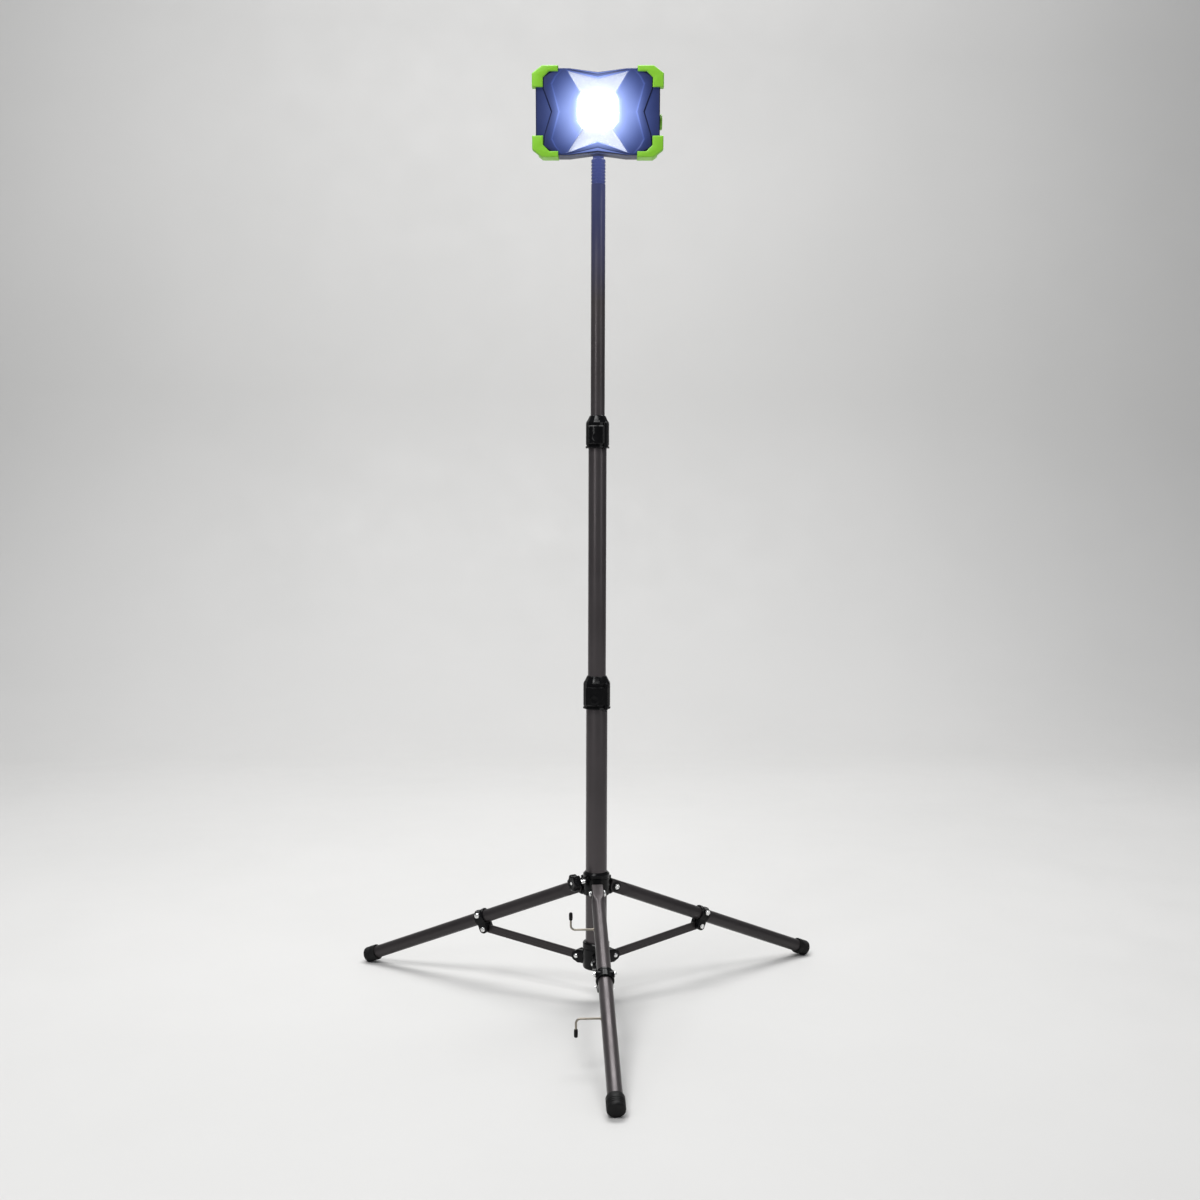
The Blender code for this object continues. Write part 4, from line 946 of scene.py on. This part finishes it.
def build_bracket():
    """A bent flat bar: two arms with rounded ends, and the bar that joins them."""
    arm_x, thick, half, bar, bend = 84.1, 2.0, 8.4, 77.0, 6.5
    middle_x = arm_x + thick / 2.0
    middle_bar = bar + thick / 2.0
    line = []
    for step in range(17):
        y = -half + half * (1.0 - math.cos(math.radians(90.0 * step / 16)))
        line.append((middle_x, y, Vector((1, 0))))
    line += [(middle_x, y, Vector((1, 0))) for y in (12.0, 40.0, middle_bar - bend)]
    for step in range(1, 11):
        angle = math.radians(90.0 * step / 10)
        line.append((middle_x - bend + bend * math.cos(angle), middle_bar - bend + bend * math.sin(angle),
                     Vector((math.cos(angle), math.sin(angle)))))
    line += [(x, middle_bar, Vector((0, 1))) for x in (60.0, 30.0)]
    line += [(-x, y, Vector((-out.x, out.y))) for x, y, out in reversed(line)]
    rings = []
    for x, y, out in line:
        reach = math.sqrt(max(0.04, half * half - min(0.0, y) ** 2)) if y < 0.0 else half
        trim, outer = 0.35, thick / 2.0
        corners = [(outer, reach - trim), (outer - trim, reach)]
        corners += [(-off, z) for off, z in reversed(corners)]
        corners += [(off, -z) for off, z in reversed(corners)]
        rings.append([(x + out.x * off, y + out.y * off, z) for off, z in corners])
    strap = loft(rings)
    centre = rod(3.3, 60.0, 95.0, "Y", steps=32)
    sides = rod(3.3, -120.0, 120.0, "X", steps=32)
    replace_node("lamp_bracket", "bent", carve(strap, centre, sides), BRACKET, "bracket", "green_paint")
    cap = lathe([(0.0, 89.6), (3.2, 89.6), (3.9, 89.2), (6.6, 89.2), (7.2, 89.9), (9.2, 90.1), (10.3, 89.7),
                 (10.8, 88.8), (10.8, 87.2), (10.4, 86.7), (5.0, 86.7), (5.0, 86.4), (3.0, 86.4),
                 (3.0, 76.5), (2.6, 76.1), (0.0, 76.1)], 72, axis="X", shape=cap_grip)
    replace_node("pivot_bolt_right", "capped", cap, BRACKET, "bracket", "green")
    head = lathe([(0.0, 87.2), (4.4, 87.2), (5.0, 86.8), (5.0, 86.4), (3.0, 86.4), (3.0, 76.5), (2.6, 76.1),
                  (0.0, 76.1)], 40, axis="X")
    settle(moved(head, Matrix.Scale(-1.0, 4, (1, 0, 0))))
    replace_node("pivot_bolt_left", "turned", head, BRACKET, "bracket", "steel")


# Lamp ---------------------------------------------------------------------------------------
HALF_W, HALF_H, DIP = 86.4, 58.3, 5.2
STEP_IN = 2.6
REAR = 24.0
BUTTON = (45.0, 0, 22.0)
PORT_X, PORT_Z = -45.0, 22.0


def mirrored(points):
    return points + [(-x, z) for x, z in reversed(points) if abs(x) > 1e-6]


def body_outline(inset, step=0.0):
    w, h = HALF_W - inset - step, HALF_H - inset
    return mirrored([(0.0, h - DIP), (40.0, h), (w - 12.0, h), (w, h - 9.5), (w, 9.5 - h), (w - 12.0, -h),
                     (40.0, -h), (0.0, DIP - h)])


STATIONS = 17


def stations(points):
    """A half ring from a few (x, z, y) points; the ones between are spaced along straight lines."""
    keys = sorted(points)
    made = []
    for index in range(STATIONS):
        low = max(key for key in keys if key <= index)
        high = min(key for key in keys if key >= index)
        t = 0.0 if low == high else (index - low) / (high - low)
        made.append(Vector(points[low]).lerp(Vector(points[high]), t))
    return made


def whole(half):
    """A half ring and its mirror image, as one ring round the Y axis."""
    other = [Vector((-p.x, p.y, p.z)) for p in reversed(half[1:-1])]
    return [Vector((p.x, p.z, p.y)) for p in half + other]


def both_halves(upper, **changed):
    """Ring points 0 to 8 repeated below the middle. changed gives those that differ there."""
    lower = {16 - key: (x, -z, y) for key, (x, z, y) in upper.items() if key < 8}
    return {**upper, **lower, **{int(key[1:]): point for key, point in changed.items()}}


WINDOW = {0: (0, 44.4, -22.0), 3: (42.5, 54.8, -22.2), 5: (24.5, 26.0, -21.0), 6: (29.3, 16.0, -20.9),
          10: (29.3, -12.5, -20.9), 11: (21.0, -22.6, -21.0), 13: (42.5, -55.2, -22.2),
          16: (0, -39.1, -22.0)}
FACE_RINGS = [
    both_halves({0: (0, 53.1, -20.8), 2: (40.0, 58.3, -20.8), 4: (74.4, 58.3, -20.8),
                 5: (86.4, 48.8, -20.8), 8: (86.4, 0, -20.8)}),
    both_halves({0: (0, 52.0, -22.3), 2: (40.3, 57.2, -22.3), 4: (73.9, 57.2, -22.3),
                 5: (85.1, 48.2, -22.3), 8: (85.1, 0, -22.3)}),
    both_halves({0: (0, 50.6, -21.9), 2: (37.0, 56.0, -21.9), 3: (60.0, 56.9, -21.9),
                 4: (77.0, 47.0, -21.3), 5: (76.8, 31.0, -21.2), 8: (65.3, 0, -21.2)},
                _11=(75.5, -32.4, -21.2), _16=(0, -48.2, -21.9)),
    both_halves({0: (0, 49.6, -22.5), 2: (35.5, 55.2, -22.5), 3: (57.0, 56.7, -22.8),
                 4: (75.0, 46.1, -23.7), 5: (74.8, 30.7, -23.8), 8: (63.3, 0, -23.9)},
                _11=(73.4, -32.0, -23.8), _16=(0, -47.2, -22.5)),
    both_halves({0: (0, 48.4, -22.8), 3: (51.0, 56.4, -23.2), 4: (60.0, 47.0, -23.7),
                 5: (65.4, 37.3, -23.9), 8: (55.1, 0, -23.9)},
                _11=(65.4, -36.8, -23.9), _16=(0, -45.4, -22.8)),
    both_halves({0: (0, 47.4, -23.0), 3: (49.0, 56.2, -23.2), 4: (58.2, 46.3, -22.5),
                 5: (63.2, 36.7, -21.4), 8: (53.0, 0, -21.2)},
                _11=(63.2, -36.2, -21.4), _16=(0, -44.0, -23.0)),
]
RIM = {0: (0, 46.0, -23.2), 3: (44.7, 55.9, -23.3), 5: (26.8, 25.8, -21.6), 6: (31.2, 16.4, -21.4),
       10: (31.2, -12.9, -21.4), 11: (23.2, -22.4, -21.6), 13: (44.7, -55.9, -23.3), 16: (0, -41.0, -23.2)}


def face_rings():
    """The bezel's front, ring by ring from its outer edge to the window."""
    rings = [stations(ring) for ring in FACE_RINGS]
    rim = stations(RIM)
    start, steps = rings[-1], 8
    for step in range(1, steps):
        t = step / steps
        ring = []
        for index, (far, near) in enumerate(zip(start, rim)):
            point = far.lerp(near, t)
            side_on = max(0.0, 1.0 - abs(index - 8) / 4.5)
            point.z += 1.5 * side_on * math.sin(math.pi * t) * (1.0 - 0.4 * t)
            ring.append(point)
        rings.append(ring)
    return rings + [rim, stations(WINDOW)]


def build_bezel():
    rings = [whole(half) for half in face_rings()]
    outer, window = rings[0], rings[-1]
    inner, step = ([(p.x * 0.955, depth, p.z * 0.94) for p in outer] for depth in (-12.5, -9.0))
    rings = [at_depth(outer, 1.0, -9.0)] + rings + [at_depth(window, 1.0, -14.5), inner, step]
    bezel = loft(rings, closed=True)
    soften(bezel, 0.32, 2, 24.0)
    replace_node("front_bezel", "moulded", bezel, FACE, "lamp", "head", crisp=40.0)


def build_housing():
    """The rear shell with ribs, screw wells, and the button and port recesses."""
    shell = prism(body_outline(0.0, STEP_IN), -7.4, REAR, "Y", edge=0.0)
    back = [e for e in shell.edges if all(abs(v.co.y - REAR) < 0.01 for v in e.verts)]
    round_edges(shell, back, 3.2, 4)
    cuts = [prism(body_outline(2.7, STEP_IN), -20.0, REAR - 2.8, "Y")]
    panel = fillet([(-33.0, 46.5), (33.0, 46.5), (38.0, 40.5), (38.0, -40.5), (33.0, -46.5), (-33.0, -46.5),
                    (-38.0, -40.5), (-38.0, 40.5)], 2.0)
    cuts.append(prism(panel, REAR - 1.2, REAR + 5.0, "Y"))
    cuts.append(rod(3.3, -120.0, 120.0, "X", (0, 0, -FACE_RISE * 1000.0), 32))
    cuts.append(rod(7.8, 10.0, 40.0, "Y", BUTTON, 48))
    cuts.append(block((12.6, 20.0, 8.6), (PORT_X, REAR, PORT_Z)))
    screws = [(x, z) for x in (-68.0, 68.0) for z in (-46.0, 46.0)]
    cuts += [rod(4.2, REAR - 1.9, REAR + 4.0, "Y", (x, 0, z), 32) for x, z in screws]
    ribs = [block((2.2, 3.4, 84.0), (index * 6.4, REAR - 0.6, 0.0), 0.7) for index in range(-5, 6)]
    rim = [(9.6, 0.7), (8.9, 0.9), (7.8, 0.5), (7.8, -1.0), (9.8, -1.0)]
    ring = lathe([(radius, REAR + y) for radius, y in rim], 48, closed=True, axis="Y", at=BUTTON)
    shell = fuse(carve(shell, *cuts), *ribs, ring)
    lights = [rod(1.1, REAR - 0.6, REAR + 0.35, "Y", (36.0 + 6.0 * index, 0, 9.0), 20, edge=0.25)
              for index in range(4)]
    replace_node("rear_housing", "moulded", shell, FACE, "lamp", "head")
    piece("charge_level_lights", together(*lights), FACE, "lamp", "green")
    heads = [pan_head(3.1, 1.7, (x, REAR - 1.9, z)) for x, z in screws]
    piece("case_screws", together(*heads), FACE, "lamp", "steel")
    outline = body_outline(0.9, STEP_IN)
    gasket = carve(prism(outline, -8.8, -7.5, "Y"), prism(body_outline(4.0, STEP_IN), -20.0, 0.0, "Y"))
    replace_node("housing_gasket", "moulded", gasket, FACE, "lamp", "rubber")


def inset_outline(points, inset):
    """A closed outline moved inward by inset, corner by corner."""
    made = []
    area = sum(a[0] * b[1] - b[0] * a[1] for a, b in zip(points, points[1:] + points[:1]))
    way = 1.0 if area > 0.0 else -1.0
    for index, point in enumerate(points):
        here = Vector(point)
        into = (here - Vector(points[index - 1])).normalized()
        out = (Vector(points[(index + 1) % len(points)]) - here).normalized()
        first, second = Vector((-into.y, into.x)) * way, Vector((-out.y, out.x)) * way
        middle = (first + second).normalized()
        made.append(tuple(here + middle * (inset / max(0.4, middle.dot(first)))))
    return made


def build_guards():
    """Soft corner guards with chamfered fronts and grip grooves round the corner."""
    far_w, far_h = 91.5, 61.27
    near_w, near_h, band = far_w - 36.5, far_h - 29.2, far_h - 8.3
    points = [
        (near_w, far_h), (far_w - 14.0, far_h), (far_w, far_h - 10.5), (far_w, near_h),
        (far_w - 15.5, near_h), (far_w - 15.5, far_h - 16.4), (far_w - 24.0, band), (near_w, band),
    ]
    rounds = [0.6, 1.6, 1.6, 0.6, 0.6, 1.2, 1.2, 0.6]
    levels = ((-25.5, 1.7), (-25.2, 0.9), (-24.6, 0.3), (-23.8, 0.0), (9.2, 0.0), (9.8, 0.4), (10.0, 0.9))
    for vertical, up in (("top", 1.0), ("bottom", -1.0)):
        for horizontal, right in (("right", 1.0), ("left", -1.0)):
            rings = []
            for y, inset in levels:
                shape = fillet(inset_outline(points, inset), rounds, steps=3)
                rings.append([(right * x, y, up * z) for x, z in shape])
            guard = loft(rings)
            cuts = [
                prism(body_outline(-0.15), -24.1, -7.8, "Y"),
                prism(body_outline(-0.15, STEP_IN), -8.4, 40.0, "Y"),
                block((20.0, 40.0, 200.0), (right * (HALF_W - STEP_IN + 9.7), 9.0, 0.0)),
            ]
            lean = turn("Y", right * up * math.degrees(math.atan2(10.5, 14.0)))
            for y in (-19.5, -15.5):
                place = shift(right * (far_w - 7.0), y, up * (far_h - 5.25)) @ lean
                cuts.append(moved(block((40.0, 1.4, 2.4), (0, 0, 0)), place))
            guard = carve(guard, *cuts)
            replace_node(f"corner_guard_{vertical}_{horizontal}", "moulded", guard, FACE, "lamp", "green")


def octagon_station(half_w, half_h, corner, depth, middle=0.0):
    top, bottom = middle + half_h, middle - half_h
    return {0: (0, top, depth), 3: (half_w - corner, top, depth), 5: (half_w, top - corner, depth),
            8: (half_w, middle, depth), 11: (half_w, corner + bottom, depth),
            13: (half_w - corner, bottom, depth), 16: (0, bottom, depth)}


def at_depth(ring, scale, depth):
    """A ring scaled about the lamp's axis and laid flat at a depth."""
    return [Vector((p.x * scale, depth, p.z * scale)) for p in ring]


def build_optics():
    """The star reflector, its bowl with painted glow, the LED and the lens over them."""
    window = whole(stations(WINDOW))
    rim = at_depth(window, 0.992, -19.0)
    mouth = whole(stations(octagon_station(24.5, 26.0, 10.0, -15.6, 4.0)))
    rings = [rim]
    for step in range(1, 5):
        t = step / 4.0
        dish = Vector((0, 0.9 * math.sin(math.pi * t), 0))
        rings.append([a.lerp(b, t) + dish for a, b in zip(rim, mouth)])
    back_mouth = [p + Vector((0, 0.8, 0)) for p in mouth]
    back_rim = [p + Vector((0, 0.8, 0)) for p in rim]
    star = loft(rings + [back_mouth, back_rim], closed=True)
    piece("reflector_star", star, FACE, "lamp", "reflector", ["reflector"], crisp=20.0)

    levels = ((0.985, -15.5), (0.86, -14.3), (0.72, -13.7), (0.58, -13.4))
    bowl = [at_depth(mouth, scale, depth) for scale, depth in levels]
    back = [[Vector((p.x, p.y + 0.5, p.z)) for p in ring] for ring in (bowl[-1], bowl[0])]
    piece("reflector_bowl", loft(bowl + back, closed=True), FACE, "lamp", "bowl", crisp=20.0)

    dies = [lathe([(0.0, -13.6), (13.0, -13.6), (14.4, -13.3), (14.4, -12.5), (0.0, -12.5)], 48, axis="Y")]
    for row in range(-3, 4):
        for column in range(-3, 4):
            if math.hypot(row, column) < 3.4:
                dies.append(block((2.0, 0.5, 2.0), (column * 3.2, -13.8, row * 3.2), 0.15, 1))
    corners = stations(octagon_station(33.0, 36.0, 8.0, 0.0))
    plate = prism([(p.x, p.z) for p in whole(corners)], -12.5, -11.0, "Y", edge=0.2)
    piece("led_array", together(*dies), FACE, "lamp", "led", ["led_board"])
    piece("led_base_plate", plate, FACE, "lamp", "aluminium")

    levels = ((0.985, -20.6), (0.993, -20.2), (0.993, -19.2))
    lens = [at_depth(window, scale, depth) for scale, depth in levels]
    replace_node("lens", "moulded", loft(lens), FACE, "lamp", "lens")


def build_controls():
    """The power button with its ring, and the port's cover with its strap."""
    profile = [(0.0, 25.2), (3.6, 25.2), (4.0, 25.0), (4.4, 25.4), (5.6, 25.8), (6.6, 25.5), (7.4, 24.6),
               (7.5, 23.6), (7.5, 20.2), (0.0, 20.2)]
    replace_node("power_button", "moulded", lathe(profile, 48, axis="Y", at=BUTTON), FACE, "power_button",
          "green")
    at = (PORT_X, 0, PORT_Z - 0.6)
    outline = fillet([(-9.0, 7.7), (9.0, 7.7), (9.0, -7.7), (-9.0, -7.7)], 2.4)
    cover = prism(outline, 24.3, 26.1, "Y", at, edge=0.5)
    outline = fillet([(-4.0, -6.0), (4.0, -6.0), (3.0, -9.6), (-3.0, -9.6)], 1.2)
    tab = prism(outline, 24.5, 25.8, "Y", at, edge=0.4)
    ridge = [block((9.0, 0.8, 0.8), (PORT_X, 26.2, 19.0 + 2.0 * index), 0.3) for index in range(3)]
    replace_node("port_cover", "moulded", fuse(cover, tab, *ridge), FACE, "port_cover", "rubber")
    for node, look in (("heat_sink", "aluminium"), ("battery_pack", "wrap"), ("driver_board", "board"),
                       ("charge_port", "black")):
        finish_node(node, look)


def build_lamp():
    build_bezel()
    build_housing()
    build_guards()
    build_optics()
    build_controls()


build_mast()
build_upper_hub()
build_knob()
build_lower_hub()
build_legs()
build_mast_top()
build_bracket()
build_lamp()


# Floor, light and camera --------------------------------------------------------------------
def build_stage():
    """A pale floor that sweeps up into a pale backdrop."""
    made = Nodes("stage_look")
    patches = made.span(made.noise(1.2, 3.0), 0.0, 1.0)
    colour = made.mix(patches, (0.600, 0.596, 0.586), (0.625, 0.620, 0.610))
    made.link(colour, made.shader.inputs["Base Color"])
    made.link(made.span(made.noise(8.0, 4.0), 0.55, 0.75), made.shader.inputs["Roughness"])
    made.bump(made.noise(160.0, 4.0), 0.2, 0.0005)
    section = [(-9.0, 0.0), (2.2, 0.0)]
    section += [(2.2 + 1.2 * math.sin(math.radians(a)), 1.2 - 1.2 * math.cos(math.radians(a)))
                for a in range(6, 91, 6)]
    section += [(3.4, 6.0)]
    bm = bmesh.new()
    rows = [[bm.verts.new((x, y, z)) for y, z in section] for x in (-9.0, 9.0)]
    for index in range(len(section) - 1):
        bm.faces.new((rows[0][index], rows[1][index], rows[1][index + 1], rows[0][index + 1]))
    floor = add_object("floor", bm)
    floor.data.shade_smooth()
    floor.data.materials.append(made.material)


def add_light(name, energy, size, place, target):
    light = bpy.data.lights.new(name, "AREA")
    light.energy = energy
    light.shape = "RECTANGLE"
    light.size, light.size_y = size
    made = bpy.data.objects.new(name, light)
    made.location = place
    aim = Vector(target) - Vector(place)
    made.rotation_mode = "QUATERNION"
    made.rotation_quaternion = aim.to_track_quat("-Z", "Y")
    made.visible_camera = False
    bpy.context.scene.collection.objects.link(made)


def build_lights():
    add_light("key", 48.0, (1.1, 0.9), (-0.9, -1.2, 2.9), (0.0, MAST_Y, 0.6))
    add_light("top", 62.0, (2.0, 1.6), (0.1, 0.9, 3.2), (0.0, MAST_Y, 0.2))
    add_light("fill", 8.0, (0.8, 2.0), (2.2, -1.8, 1.6), (0.0, MAST_Y, 0.6))
    add_light("back", 66.0, (4.0, 1.2), (0.0, 1.5, 3.8), (0.0, 3.1, 1.2))
    add_light("glint", 5.0, (0.22, 0.5), (-1.5, -1.9, 1.2), (0.0, MAST_Y, 0.7))
    world = bpy.data.worlds.new("studio")
    world.use_nodes = True
    backdrop = world.node_tree.nodes["Background"]
    backdrop.inputs["Color"].default_value = (0.92, 0.95, 1.0, 1.0)
    backdrop.inputs["Strength"].default_value = 0.22
    bpy.context.scene.world = world


def build_camera():
    """2.10 m from the mast and 0.74 m up, looking slightly down."""
    distance, height, heading, pitch, roll = 2.1021, 0.7380, -3.46, 3.4655, 0.168
    data = bpy.data.cameras.new("camera")
    data.sensor_width = 36.0
    data.lens = 42.236
    data.shift_x = 0.0024
    camera = bpy.data.objects.new("camera", data)
    bpy.context.scene.collection.objects.link(camera)
    stand = MAST @ turn("Z", heading) @ shift(0.0, -distance, height)
    camera.matrix_world = stand @ turn("X", 90.0 - pitch) @ turn("Z", roll)
    bpy.context.scene.camera = camera


build_stage()
build_lights()
build_camera()
bpy.context.scene.view_settings.view_transform = "Standard"
